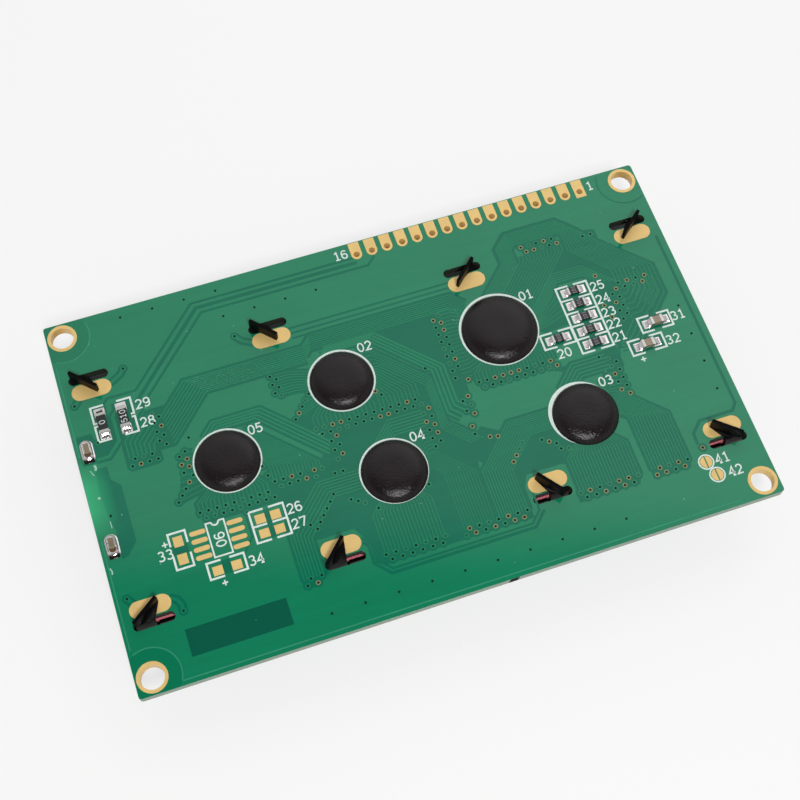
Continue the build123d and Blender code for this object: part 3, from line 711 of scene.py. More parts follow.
# %% Wide traces with a clearance on both sides, from a via or a lead to a land
STRAPS = [
    [(-38.9, 19.65), (-39.6, 18.8), (-41.4, 17.8)], [(-21.3, 19.7), (-20.5, 18.6), (-18.8, 17.7)],
    [(-47.2, 15.75), (-46.4, 16.8)], [(-47.1, -15.6), (-46.3, -16.8)],
    [(-46.2, 6.3), (-44.3, 6.3), (-42.3, 8.3), (-42.3, 12.4), (-41.4, 13.4)],
    [(-41.4, -17.3), (-40.4, -17.9), (-39.95, -18.8), (-39.95, -19.7)],
]
STRAP_WIDTH = 0.5
STRAP_CLEARANCE = 0.42
for line in STRAPS:
    etched.ribbon(line, STRAP_WIDTH + 2 * STRAP_CLEARANCE)
    traces.ribbon(line, STRAP_WIDTH)
print(len(STRAPS), "wide traces")

# %% [markdown]
# ## Vias
#
# A via is a tiny plated hole that joins the copper on both faces. The mask leaves a few of them
# bare, so those show a gold ring, and it fills others, so those show only a dimple. They stand in
# rows, so a row is its two end points and a count. Which via is which looks like chance, so a seeded
# draw picks it in plain shares, with more bare ones on the right half. The holes could be cut into
# the board with a boolean, but at this size a near-black disc on a pad, painted shade for the hole,
# looks the same and leaves the CAD solid alone. Each dimple is a darker green disc, painted shade too.

# %% Via rows: x and y of the first, x and y of the last, and how many
VIA_ROWS = [
    (-14.0, 0.95, 1.7, 0.95, 13), (-13.3, -0.05, 2.35, -0.05, 13),
    (11.9, 0.65, 23.6, 0.65, 10), (12.5, -0.35, 24.3, -0.35, 10),
    (-33.9, -6.4, -23.6, -6.4, 9), (-33.2, -7.45, -22.9, -7.45, 9),
    (-10.2, -20.9, -1.1, -20.9, 7), (-9.5, -21.8, -1.8, -21.8, 6),
    (2.6, -20.9, 11.6, -20.9, 7), (1.8, -21.8, 10.8, -21.8, 7),
    (20.0, -20.9, 29.2, -20.9, 7), (20.7, -21.8, 28.2, -21.8, 6),
    (32.7, -20.9, 37.2, -20.9, 4), (31.9, -21.8, 36.4, -21.8, 4),
    (-21.5, -20.9, -19.9, -20.9, 2), (-22.25, -21.8, -20.7, -21.8, 2),
    (9.75, 13.35, 9.75, 4.2, 8), (8.7, 12.75, 8.7, 3.7, 8), (8.7, 2.4, 8.7, 2.4, 1),
    (3.2, -1.0, 3.2, -6.6, 5), (2.15, -1.65, 2.15, -7.25, 5), (9.5, -1.0, 9.5, -4.0, 3),
    (8.5, -1.55, 8.5, -3.25, 2), (8.45, -5.9, 8.4, -7.2, 2), (10.4, -8.3, 11.55, -8.6, 2),
    (-11.35, -0.95, -11.35, -4.0, 3), (-12.35, -1.6, -12.3, -4.65, 3),
    (32.2, -1.75, 32.2, -7.25, 5), (33.2, -2.6, 33.25, -8.2, 5),
    (30.9, -1.1, 30.9, -1.1, 1), (-33.5, 3.6, -33.5, 1.1, 3), (-34.5, 3.0, -34.5, 0.35, 3),
    (-33.3, -0.4, -33.3, -0.4, 1), (-34.1, -1.3, -36.4, -3.9, 4),
    (-18.1, 11.4, -18.1, 8.5, 3), (-17.3, 10.7, -17.3, 7.9, 3),
    (-36.65, 11.0, -36.6, 6.4, 4), (-35.75, 10.25, -35.75, 5.6, 4),
    (-41.4, 3.7, -37.5, 3.7, 4), (-40.75, 4.75, -38.15, 4.75, 3),
    (26.3, 20.8, 31.5, 20.8, 5), (26.9, 19.8, 32.1, 19.8, 5),
    (36.5, 19.7, 37.85, 19.7, 2), (38.7, 10.1, 43.2, 10.1, 4), (38.0, 9.2, 42.5, 9.15, 4),
    (37.1, 8.45, 37.1, 3.9, 4), (38.0, 7.7, 38.0, 4.65, 3), (35.7, 12.35, 35.7, 12.35, 1),
    (35.1, 7.0, 35.5, 4.7, 2), (35.5, -0.2, 35.5, -0.2, 1), (-13.3, 6.85, -16.4, 3.4, 5),
    (-15.4, -10.65, -17.7, -13.2, 4), (-14.6, -9.7, -14.6, -9.7, 1),
    (-19.2, -13.2, -18.4, -14.1, 2), (-12.4, -11.3, -10.6, -12.4, 3),
    (-9.0, -13.8, -9.0, -13.8, 1), (14.65, -10.65, 12.35, -13.2, 4),
    (17.6, -11.2, 19.5, -12.4, 3), (19.85, -13.4, 21.0, -13.7, 2),
    (-22.2, -5.1, -18.3, -5.1, 4), (-21.5, -6.1, -17.6, -6.1, 4),
    (-16.15, -5.2, -15.0, -5.3, 2), (-16.2, -6.3, -16.2, -6.3, 1),
    (-23.3, -2.25, -22.9, -3.9, 2), (-13.4, -6.65, -12.15, -6.65, 2),
    (-47.3, 15.75, -47.3, 15.75, 1), (-38.9, 19.65, -38.9, 19.65, 1),
    (-21.3, 19.7, -21.3, 19.7, 1), (-47.1, -15.6, -47.1, -15.6, 1), (40.1, -19.9, 40.1, -19.9, 1),
    (-39.95, -19.75, -39.95, -19.75, 1), (-27.4, -8.4, -27.4, -8.4, 1),
    (-45.35, 8.95, -45.35, 8.95, 1), (-3.6, 4.1, -2.9, 3.3, 2), (4.85, 5.4, 4.85, 5.4, 1),
    (10.5, 1.6, 10.5, 1.6, 1), (-1.2, -11.3, -0.8, -12.6, 2),
]
# Vias that tie the pours of both faces stand alone in the copper, with no clearance round them.
GROUND_ROWS = [
    (-37.2, 28.3, -22.0, 28.3, 4), (-22.0, 23.6, -7.0, 23.6, 4), (-20.2, -26.7, 24.9, -26.7, 10),
    (46.2, -1.75, 46.2, -11.6, 3), (-32.4, 5.6, -32.4, 5.6, 1), (-46.3, -2.8, -46.3, -2.8, 1),
    (46.2, 3.4, 46.2, 3.4, 1),
]
VIA_HOLE_RADIUS = 0.19
VIA_DIMPLE_RADIUS = 0.2
VIA_RING_RADIUS = 0.35
VIA_PAD_RADIUS = 0.42
VIA_CLEARANCE_RADIUS = 0.72
GROUND_HOLE_RADIUS = VIA_HOLE_RADIUS * 0.9
PAD_STEPS, HOLE_STEPS = 20, 14
VIA_KINDS = ("bare", "open", "tented")
LEFT_SHARES = (1, 6, 1)
RIGHT_SHARES = (2, 3, 1)


# %% The vias' pads, rings, and discs of painted shade for holes and dimples
def row_points(x0, y0, x1, y1, count):
    steps = max(1, count - 1)
    return [tuple(Vector((x0, y0)).lerp(Vector((x1, y1)), i / steps)) for i in range(count)]


via_pads = FlatWork(VIA_PAD)
via_rings = FlatWork(VIA_RING)
via_hole_shades = FlatWork(VIA_HOLE)
via_dimple_shades = FlatWork(VIA_RING)
via_pick = random.Random(2)
for row in VIA_ROWS:
    for x, y in row_points(*row):
        kind = via_pick.choices(VIA_KINDS, RIGHT_SHARES if x > 0 else LEFT_SHARES)[0]
        etched.disc(x, y, VIA_CLEARANCE_RADIUS, PAD_STEPS)
        via_pads.disc(x, y, VIA_PAD_RADIUS, PAD_STEPS)
        # A dimple gets a darker green disc and a hole a near-black disc; both are painted shade.
        if kind == "tented":
            via_dimple_shades.disc(x, y, VIA_DIMPLE_RADIUS, HOLE_STEPS)
            continue
        via_hole_shades.disc(x, y, VIA_HOLE_RADIUS, HOLE_STEPS)
        if kind == "bare":
            via_rings.ring(x, y, VIA_RING_RADIUS, VIA_HOLE_RADIUS, PAD_STEPS)
for row in GROUND_ROWS:
    for x, y in row_points(*row):
        via_hole_shades.disc(x, y, GROUND_HOLE_RADIUS, HOLE_STEPS)
print("vias in rows:", len(VIA_ROWS), "rows, and", len(GROUND_ROWS), "rows in the copper")

# %% [markdown]
# ## Corners and the copper's edge
#
# Round the left mounting holes the copper stops at an arc, and along the board it stops short of
# the edge. The mask climbs over its edge there in a low ridge, and the ridge's pale green is a
# painted highlight on that step. The bare laminate is a flat band round each hole, cut off just
# inside the board's corner, and the line is a ribbon.

# %% Corner reliefs and ridges with a painted highlight
RELIEF_RADIUS = 4.2
RELIEF_INNER = 2.3
RELIEF_STEPS = 72
HOLE_INSET = 2.5
RIM = 0.08
RIDGE_WIDTH = 0.2
ARC_STEPS = 20
NEARLY_ZERO = 0.001
LEFT_ARC_START, LEFT_ARC_SWEEP = -0.4, math.pi / 2 + 0.85
RIGHT_ARC_START, RIGHT_ARC_SWEEP = -0.5, 2.6
POUR_EDGE_X, POUR_EDGE_Y = -48.5, -29.3
POUR_EDGE_LINES = [
    [(POUR_EDGE_X, -23.0), (POUR_EDGE_X, -6.2)], [(POUR_EDGE_X, 7.4), (POUR_EDGE_X, 23.0)],
    [(-42.6, POUR_EDGE_Y), (42.2, POUR_EDGE_Y)],
]


def arc_turns(start, sweep):
    """Angles in radians, evenly spaced along an arc."""
    return [start + sweep * i / ARC_STEPS for i in range(ARC_STEPS + 1)]


def corner_reach(turn):
    """How far the relief reaches from a hole's centre; a turn of zero points inward along the board."""
    outward = max(-math.cos(turn), -math.sin(turn), NEARLY_ZERO)
    return min(RELIEF_RADIUS, (HOLE_INSET - RIM) / outward)


def round_left_hole(side_y, turns, reach):
    """Points round one of the left mounting holes; side_y is 1 for the upper and -1 for the lower one."""
    hole_x, hole_y = HOLE_INSET - HALF_LENGTH, side_y * (HALF_WIDTH - HOLE_INSET)
    return [(hole_x + reach(t) * math.cos(t), hole_y - side_y * reach(t) * math.sin(t)) for t in turns]


# %% The reliefs, the ridges with a painted highlight, and the arc at the upper right
corners = FlatWork(ETCHED)
ridge_highlights = FlatWork(ISLAND)
full_turn = [2 * math.pi * i / RELIEF_STEPS for i in range(RELIEF_STEPS)]
left_arc = arc_turns(LEFT_ARC_START, LEFT_ARC_SWEEP)
for side_y in (-1, 1):
    corners.band(round_left_hole(side_y, full_turn, corner_reach),
                 round_left_hole(side_y, full_turn, lambda turn: RELIEF_INNER))
    ridge_highlights.ribbon(round_left_hole(side_y, left_arc, lambda turn: RELIEF_RADIUS), RIDGE_WIDTH)
for line in POUR_EDGE_LINES:
    ridge_highlights.ribbon(line, RIDGE_WIDTH)
etched.ribbon([(HALF_LENGTH - HOLE_INSET - RELIEF_RADIUS * math.cos(t),
                HALF_WIDTH - HOLE_INSET - RELIEF_RADIUS * math.sin(t))
               for t in arc_turns(RIGHT_ARC_START, RIGHT_ARC_SWEEP)], RIDGE_WIDTH)
MASK_AT_CORNER = green_mask("mask at the bare corners", GREEN_AT_CORNER)
# The ridge's paler green is a painted highlight on the step at the copper's edge.
MASK_PAINTED_RIDGE_HIGHLIGHT = mottled("mask over the copper's edge, with painted highlight", GREEN_PAINTED_RIDGE_HIGHLIGHT, 0.3, depth=0.4, patch=0.3)
corners.piece("corner_reliefs", MASK_AT_CORNER)
ridge_highlights.piece("copper_edge_painted_highlights", MASK_PAINTED_RIDGE_HIGHLIGHT)

# %% Pieces of the etched layers
VIA_METAL = mottled("bare via ring", (0.27, 0.27, 0.13), 0.45, depth=0.5, patch=0.8, metallic=0.5)
# The darker green in a dimple and the near-black in a hole are painted shade.
MASK_PAINTED_DIMPLE_SHADE = mottled("mask with painted shade in a filled via", (0.000, 0.090, 0.052), 0.15)
HOLE_PAINTED_SHADE = mottled("painted shade in a via hole", (0.003, 0.014, 0.008), 0.6, specular_ior_level=0.1)
etched.piece("etched_fields", MASK_ON_LAMINATE)
traces.piece("traces", MASK_ON_COPPER)
via_pads.piece("via_pads", MASK_ON_COPPER)
via_rings.piece("via_rings", VIA_METAL, "gold_plating")
via_hole_shades.piece("via_hole_shades", HOLE_PAINTED_SHADE)
via_dimple_shades.piece("via_dimple_shades", MASK_PAINTED_DIMPLE_SHADE)

# %% [markdown]
# ## Printed marks
#
# White ink outlines each part and rings each epoxy drop. The outlines have gaps where the parts'
# lands are, so a box is drawn as two brackets. Beside each part stands a plain number, drawn with a
# few strokes and arcs, like the numbers on a dial. A font would make far more faces for the same look.

# %% Strokes of the ten digits, on a grid one unit high
def arc(x, y, radius_x, radius_y, start, end, steps=8):
    """Points along an ellipse, between two angles in degrees."""
    points = []
    for i in range(steps + 1):
        angle = math.radians(start + (end - start) * i / steps)
        points.append((x + radius_x * math.cos(angle), y + radius_y * math.sin(angle)))
    return points


DIGIT_WIDTH = 0.62
DIGIT_PITCH = 0.86
DIGITS = {
    "0": [arc(0.31, 0.5, 0.3, 0.5, 90, 450, 16)],
    "1": [[(0.08, 0.82), (0.33, 1.0), (0.33, 0.0)], [(0.08, 0.0), (0.58, 0.0)]],
    "2": [arc(0.31, 0.7, 0.29, 0.3, 165, -30) + [(0.02, 0.0), (0.62, 0.0)]],
    "3": [arc(0.28, 0.75, 0.27, 0.25, 150, -90), arc(0.28, 0.27, 0.31, 0.27, 90, -150)],
    "4": [[(0.46, 0.0), (0.46, 1.0), (0.0, 0.3), (0.64, 0.3)], [(0.3, 0.0), (0.62, 0.0)]],
    "5": [[(0.56, 1.0), (0.1, 1.0), (0.06, 0.55)] + arc(0.28, 0.32, 0.31, 0.31, 125, -150)],
    "6": [arc(0.32, 0.66, 0.3, 0.34, 40, 180) + [(0.02, 0.3)], arc(0.31, 0.3, 0.29, 0.3, 180, -180, 14)],
    "7": [[(0.04, 0.86), (0.04, 1.0), (0.6, 1.0), (0.24, 0.0)]],
    "8": [arc(0.31, 0.76, 0.25, 0.24, 90, 450, 14), arc(0.31, 0.27, 0.3, 0.27, 90, 450, 14)],
    "9": [arc(0.31, 0.7, 0.29, 0.3, 0, 360, 14), [(0.6, 0.7)] + arc(0.3, 0.34, 0.3, 0.34, 0, -140)],
    "+": [[(0.0, 0.5), (0.6, 0.5)], [(0.3, 0.2), (0.3, 0.8)]],
}
print(len(DIGITS), "characters")


# %% Writing a number
def number(work, text, x, y, height, stroke, turn=0.0):
    """Write digits centred on a place, turned by an angle in degrees."""
    width = DIGIT_PITCH * (len(text) - 1) + DIGIT_WIDTH
    spin = Matrix.Rotation(math.radians(turn), 2)
    for i, character in enumerate(text):
        for line in DIGITS[character]:
            shifted = [(px - width / 2 + i * DIGIT_PITCH, py - 0.5) for px, py in line]
            work.ribbon([tuple(spin @ Vector(p) * height + Vector((x, y))) for p in shifted], stroke)


# %% Drawing a box as two brackets
INK_LINE = 0.3


def bracket(work, left, right, low, high, gaps, along_x=True):
    """A box outline with a gap in each of its lines along one axis."""
    start, end = gaps
    if along_x:
        work.ribbon([(start, high), (left, high), (left, low), (start, low)], INK_LINE)
        work.ribbon([(end, high), (right, high), (right, low), (end, low)], INK_LINE)
    else:
        work.ribbon([(left, end), (left, high), (right, high), (right, end)], INK_LINE)
        work.ribbon([(left, start), (left, low), (right, low), (right, start)], INK_LINE)


# %% Boxes round the parts: left, right, low, high, where the gap is, and along which lines
ink = FlatWork(INK)
RESISTOR_LINES = [12.0, 9.6, 7.25, 5.0, 2.65, 0.2]
RESISTOR_LEFT, RESISTOR_RIGHT, RESISTOR_GAP = 28.8, 33.95, (30.85, 31.8)
BOXES = [
    (23.5, 28.65, 2.55, 5.05, (25.5, 26.5), True), (39.05, 44.2, 0.6, 3.2, (41.0, 42.3), True),
    (36.1, 41.7, -2.6, -0.1, (38.1, 39.7), True), (-39.3, -36.75, -13.75, -8.2, (-11.65, -10.1), False),
    (-27.25, -22.1, -11.0, -8.6, (-25.1, -24.3), True),
    (-27.25, -22.1, -13.5, -11.0, (-25.1, -24.3), True),
    (-35.1, -29.6, -16.65, -14.15, (-33.0, -31.7), True),
]
for high, low in zip(RESISTOR_LINES, RESISTOR_LINES[1:]):
    bracket(ink, RESISTOR_LEFT, RESISTOR_RIGHT, low, high, RESISTOR_GAP)
for box in BOXES:
    bracket(ink, *box)
print(len(RESISTOR_LINES) - 1 + len(BOXES), "boxes")

# %% The box that the two large resistors share, with a gap between two ticks in each side
PAIR_LOW, PAIR_TICK_LOW, PAIR_TICK_HIGH, PAIR_HIGH = 8.97, 11.5, 12.0, 14.7
TICK = 0.5
for side, x, inner in ((-1, -45.2, -43.2), (1, -39.1, -41.2)):
    ink.ribbon([(inner, PAIR_HIGH), (x, PAIR_HIGH), (x, PAIR_TICK_HIGH), (x - side * TICK, PAIR_TICK_HIGH)],
               INK_LINE)
    ink.ribbon([(x - side * TICK, PAIR_TICK_LOW), (x, PAIR_TICK_LOW), (x, PAIR_LOW), (inner, PAIR_LOW)],
               INK_LINE)
print(ink.shapes, "printed lines so far")

# %% The spare chip's box, with a round notch in its upper line
NOTCH_X, NOTCH_RADIUS, NOTCH_LINE = -32.3, 0.55, 0.24
SPARE_LEFT, SPARE_RIGHT, SPARE_LOW, SPARE_HIGH = -33.65, -30.95, -13.6, -8.3
ink.ribbon([(NOTCH_X - NOTCH_RADIUS, SPARE_HIGH), (SPARE_LEFT, SPARE_HIGH), (SPARE_LEFT, SPARE_LOW),
            (SPARE_RIGHT, SPARE_LOW), (SPARE_RIGHT, SPARE_HIGH), (NOTCH_X + NOTCH_RADIUS, SPARE_HIGH)],
           NOTCH_LINE)
ink.ribbon(arc(NOTCH_X, SPARE_HIGH, NOTCH_RADIUS, NOTCH_RADIUS, 180, 360), NOTCH_LINE)
print(ink.shapes, "printed lines so far")

# %% Rings round the epoxy drops and the two solder jumpers
BLOB_RINGS = [
    (17.95, 8.2, 6.25), (-7.9, 7.45, 5.2), (25.0, -8.95, 5.15), (-5.0, -8.95, 5.2), (-27.9, 0.25, 5.15),
]
BLOB_RING_WIDTH = 0.65
BLOB_RING_STEPS, JUMPER_RING_STEPS = 72, 32
JUMPER_RINGS = [(39.65, -22.2), (40.45, -24.55)]
JUMPER_RING_OUTER, JUMPER_RING_INNER = 1.24, 1.02
for x, y, radius in BLOB_RINGS:
    ink.ring(x, y, radius, radius - BLOB_RING_WIDTH, BLOB_RING_STEPS)
for x, y in JUMPER_RINGS:
    ink.ring(x, y, JUMPER_RING_OUTER, JUMPER_RING_INNER, JUMPER_RING_STEPS)
print(len(BLOB_RINGS) + len(JUMPER_RINGS), "rings")

# %% Numbers beside the parts: text, x, y and turn in degrees
NUMBERS = [
    ("16", -1.45, 28.27, 0), ("1", 41.1, 28.2, 0), ("01", 24.0, 12.55, 0), ("02", -2.85, 11.85, 0),
    ("03", 30.4, -5.1, 0), ("04", 0.05, -4.7, 0), ("05", -22.6, 3.9, 0), ("06", -32.2, -11.2, 90),
    ("25", 35.35, 10.65, 0), ("24", 35.35, 8.25, 0), ("23", 35.35, 5.8, 0), ("22", 35.35, 3.65, 0),
    ("21", 35.35, 1.3, 0), ("20", 26.15, 1.25, 0), ("29", -37.5, 13.2, 0), ("28", -37.5, 10.1, 0),
    ("26", -20.65, -9.85, 0), ("27", -20.65, -12.3, 0), ("31", 45.45, 1.95, 0), ("32", 43.1, -1.7, 0),
    ("33", -40.3, -11.1, 0), ("34", -28.1, -15.7, 0), ("41", 42.2, -22.3, 0), ("42", 43.3, -24.7, 0),
    ("+", 37.4, -3.55, 0), ("+", -40.0, -9.55, 0), ("+", -33.25, -17.65, 0),
]
NUMBER_HEIGHT = 1.4
NUMBER_STROKE = 0.22
for characters, x, y, turn in NUMBERS:
    number(ink, characters, x, y, NUMBER_HEIGHT, NUMBER_STROKE, turn)
WHITE_INK = mottled("white printed ink", (0.72, 0.83, 0.78), 0.5, depth=0.35, patch=1.2, grain=7.0,
                    unevenness=0.2, ripple=0.3, ripple_depth=0.01)
ink.piece("printed_marks", WHITE_INK, "white_plastic")

# %% [markdown]
# ## Marks of making and handling, and painted shade at the joints
#
# Flux leaves pale smears by the two hand-soldered leads and dries brown on them, and at one end of
# each joint a near-black patch is painted shade. Dust leaves small pale specks, and a black pen dash
# on the lower edge is an inspection mark. The smears and the dash are few, so each is drawn where it
# lies. The specks are many and any place will do, so their places are drawn from a fixed seed, which
# makes them the same in every run.

# %% Flux smears
FLUX = mottled("dried flux", (0.36, 0.62, 0.50), 0.45, depth=0.3, patch=1.0, grain=6.0)
FLUX_SMEARS = [
    ([(-46.75, 5.6), (-46.6, 5.2), (-46.7, 4.7)], 0.34), ([(-47.5, 4.9), (-47.3, 4.4), (-47.1, 4.0)], 0.12),
    ([(-46.6, -3.6), (-46.55, -4.7)], 0.12), ([(-48.3, -10.5), (-48.1, -11.1), (-48.2, -11.5)], 0.2),
]
FLUX_DROP = (-47.25, 0.35, 0.22)
flux = FlatWork(VIA_PAD)
for line, width in FLUX_SMEARS:
    flux.ribbon(line, width)
flux.disc(*FLUX_DROP)
flux.piece("flux_marks", FLUX, "solder")

# %% Painted shade at one end of each joint and brown flux on the leads, drawn from the middle of each joint
# The near-black patch at one end of each joint is painted shade.
JOINT_END_SHADE = mottled("painted shade at a joint's end", (0.012, 0.006, 0.005), 0.35, depth=0.6, patch=2.0, grain=9.0, ripple=0.6,
                specular_ior_level=0.15)
BROWN = mottled("brown flux on a lead", (0.10, 0.045, 0.012), 0.35, depth=0.8, patch=2.5, grain=9.0,
                ripple=0.6)
JOINT_END_SHADE_OUTLINE = [(-0.76, -1.86), (-0.8, -1.2), (-0.45, -1.42), (0.0, -1.5), (0.42, -1.4), (0.78, -1.22),
                 (0.74, -1.84)]
BROWN_OUTLINE = [(-0.5, -0.26), (-0.5, -0.62), (-0.34, -0.9), (0.0, -1.02), (0.34, -0.9), (0.5, -0.62),
                 (0.5, -0.3), (0.2, -0.46), (-0.2, -0.44)]
JOINT_END_SHADE_HEIGHT = 0.16
BROWN_DEPTH, BROWN_HEIGHT = 0.15, 0.012
for lead in ("anode_lead", "cathode_lead"):
    lead_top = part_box(lead)[1].z / MM
    joint_low, joint_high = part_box(f"{lead}_solder")
    middle_x = (joint_low.x + joint_high.x) / 2 / MM
    middle_y = (joint_low.y + joint_high.y) / 2 / MM
    end_shade = FlatWork(JOINT_END_SHADE_HEIGHT, BOARD_TOP)
    end_shade.outline([(middle_x + x, middle_y + y) for x, y in JOINT_END_SHADE_OUTLINE])
    end_shade.piece(f"{lead}_painted_end_shade", JOINT_END_SHADE, "black_epoxy")
    brown = FlatWork(BROWN_DEPTH + BROWN_HEIGHT, lead_top - BROWN_DEPTH)
    brown.outline([(middle_x + x, middle_y + y) for x, y in BROWN_OUTLINE])
    brown.piece(f"{lead}_brown_flux", BROWN, "black_epoxy")

# %% Dust
DUST = mottled("dust", (0.20, 0.50, 0.36), 0.7, depth=0.3)
DUST_COUNT, DUST_STEPS = 36, 8
DUST_X, DUST_Y, DUST_RADIUS = (-47.5, 47.5), (-28.5, 26.0), (0.04, 0.1)
dust_pick = random.Random(5)
dust = FlatWork(VIA_PAD)
for _ in range(DUST_COUNT):
    x, y, radius = [dust_pick.uniform(*limits) for limits in (DUST_X, DUST_Y, DUST_RADIUS)]
    dust.disc(x, y, radius, DUST_STEPS)
dust.piece("dust_specks", DUST, "white_plastic")

# %% The pen mark, a thin film on the front edge
PEN = mottled("black pen ink", (0.010, 0.008, 0.010), 0.7, depth=0.4, specular_ior_level=0.05)
PEN_FILM = 0.02
PEN_LEFT, PEN_RIGHT, PEN_SLANT = 5.4, 7.0, 0.25
PEN_LOW, PEN_HIGH = BOARD_BOTTOM + 0.1, BOARD_TOP - 0.05
pen_corners = [(PEN_LEFT, PEN_LOW), (PEN_RIGHT - PEN_SLANT, PEN_LOW), (PEN_RIGHT, PEN_HIGH),
               (PEN_LEFT + PEN_SLANT, PEN_HIGH)]
pen_verts = [(x, -HALF_WIDTH + side * PEN_FILM, z) for side in (-1, 1) for x, z in pen_corners]
pen_faces = [[0, 1, 2, 3], [7, 6, 5, 4]] + [[i, 4 + i, 4 + (i + 1) % 4, (i + 1) % 4] for i in range(4)]
make_piece("pen_mark", pen_verts, pen_faces, PEN)

# %% [markdown]
# ## The dark window
#
# In the lower left the copper leaves a window free, which shows as a darker green. It is a plain
# rectangle of mask over bare laminate, with sharp corners, so one thin prism makes it.

# %% Dark window
window = FlatWork(ISLAND)
window.outline([(-40.5, -26.5), (-25.7, -26.5), (-25.7, -22.45), (-40.5, -22.45)])
MASK_DARK = green_mask("mask in the bare window", (0.000, 0.102, 0.059))
window.piece("bare_window", MASK_DARK)

# %% [markdown]
# ## Metals
#
# The lands are copper with a thin gold finish, which is satin and slightly pink where it is thin.
# The bezel is steel sheet with a glossy black coat. Solder is bright, and it wrinkles as it sets. A
# plain colour would do from afar, but plating and coats are never quite even, so all four take the
# mottled surface with their own patches, grain and ripple.

# %% Gold, black coat, solder and tinned copper
GOLD = mottled("satin gold finish", (0.83, 0.57, 0.21), 0.42, depth=0.25, patch=0.6, grain=6.0,
               unevenness=0.2, ripple=0.4, ripple_depth=0.015, metallic=0.15)
BLACK_COAT = mottled("glossy black coat on steel", (0.003, 0.0025, 0.0025), 0.4, depth=0.5, patch=1.1,
                     grain=5.0, unevenness=0.3, ripple=0.9, ripple_depth=0.05, specular_ior_level=0.05)
SOLDER = mottled("bright wrinkled solder", (0.79, 0.74, 0.75), 0.17, depth=0.5, patch=2.0, grain=9.0,
                 unevenness=0.4, ripple=0.8, ripple_depth=0.05, metallic=1.0)
LEAD_METAL = mottled("dull tinned lead", (0.37, 0.31, 0.21), 0.4, depth=0.3, patch=1.5, grain=8.0,
                     unevenness=0.3, ripple=0.4, ripple_depth=0.02, metallic=1.0)
dress(GOLD, "mounting_hole_plating", "header_pads", "tab_ground_pads", "spare_ic_pads", "spare_chip_pads",
      "jumper_pads")
dress(BLACK_COAT, "bezel")
dress(SOLDER, "chip_solder_joints", "anode_lead_solder", "cathode_lead_solder")
dress(LEAD_METAL, "anode_lead", "cathode_lead")

# %% [markdown]
# ## Epoxy drops
#
# Each drop is a black resin poured over a bare chip. It is satin, with a fine grain that breaks a
# highlight into specks. The specks need bumps about as large as themselves, so a second, coarser
# noise than the shared grain makes the height.

# %% Black epoxy
def epoxy_material():
    material, tree, shader = new_material("black epoxy")
    mottle(tree, shader, (0.0095, 0.006, 0.007), 0.22, depth=0.4, patch=0.4, grain=5.0, unevenness=0.12)
    bump(tree, shader, noise(tree, 3.8, 2.0, 0.6), 1.0, 0.065)
    set_values(shader, specular_ior_level=0.32)
    return material


EPOXY = epoxy_material()
dress(EPOXY, *[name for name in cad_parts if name.startswith("epoxy_blob")])

# %% [markdown]
# ## Chip parts
#
# A chip resistor is a ceramic block with a black glaze between two tinned ends. Both are one CAD
# node, so one material paints the middle and the ends by their distance from the chip's centre. The
# solid could be split in three instead, but this way it stays as it is in the CAD frame.

# %% A chip's own material
CHIP_ENDS = (0.62, 0.62, 0.60)


def chip_material(name, node, body, end_length):
    low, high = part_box(node)
    centre = (low + high) / 2
    size = high - low
    axis = "X" if size.x > size.y else "Y"
    half = max(size.x, size.y) / 2 - end_length * MM
    material, tree, shader = new_material(name)
    aside = math_node(tree, "SUBTRACT", own_xyz(tree)[axis], getattr(centre, axis.lower()))
    on_end = math_node(tree, "GREATER_THAN", math_node(tree, "ABSOLUTE", aside), half)
    surface = mottle(tree, shader, body, 0.3, depth=0.3, patch=1.0, grain=9.0, unevenness=0.2)
    tree.links.new(mix_colours(tree, on_end, surface["Colour"], CHIP_ENDS), shader.inputs["Base Color"])
    tree.links.new(on_end, shader.inputs["Metallic"])
    bump(tree, shader, surface["Height"], 0.3, 0.02)
    dress(material, node)


# %% Chips
RESISTOR_GLAZE = (0.014, 0.014, 0.015)
CAPACITOR_CLAY = (0.30, 0.235, 0.17)
SMALL_CHIP = 2.5
SMALL_END, LARGE_END, CAPACITOR_END = 0.28, 0.4, 0.42
for node in sorted(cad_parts):
    if node.startswith("resistor"):
        small = max(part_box(node)[1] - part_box(node)[0]) < SMALL_CHIP * MM
        chip_material(f"{node} glaze", node, RESISTOR_GLAZE, SMALL_END if small else LARGE_END)
    elif node.startswith("capacitor"):
        chip_material(f"{node} clay", node, CAPACITOR_CLAY, CAPACITOR_END)

# %% [markdown]
# ## Numbers on the resistors
#
# A resistor's value is printed on its glaze. The two large ones lie across the board and have white
# print. On the small ones it is grey and worn. Both are written with the same strokes as the numbers
# on the board, and the print starts inside the chip, so that its thin prisms leave no gap under them.

# %% Numbers on the resistors
CHIP_NUMBERS = {
    "resistor_r9": "0", "resistor_r8": "510", "resistor_rf": "910", "resistor_r1": "101",
    "resistor_r2": "101", "resistor_r3": "101", "resistor_r4": "101", "resistor_r5": "101",
}
LARGE_TEXT, SMALL_TEXT, CHIP_STROKE = 0.85, 0.55, 0.1
PRINT_HEIGHT, PRINT_DEPTH = 0.012, 0.04
WORN_PRINT = mottled("worn grey print", (0.24, 0.225, 0.25), 0.5, depth=0.6, patch=2.0, grain=9.0)
for node, characters in CHIP_NUMBERS.items():
    low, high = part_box(node)
    long_y = high.y - low.y > high.x - low.x
    label = FlatWork(PRINT_HEIGHT, high.z / MM - PRINT_DEPTH)
    number(label, characters, (low.x + high.x) / 2 / MM, (low.y + high.y) / 2 / MM,
           LARGE_TEXT if long_y else SMALL_TEXT, CHIP_STROKE, 90)
    label.piece(f"{node}_number", WHITE_INK if long_y else WORN_PRINT, "white_plastic")

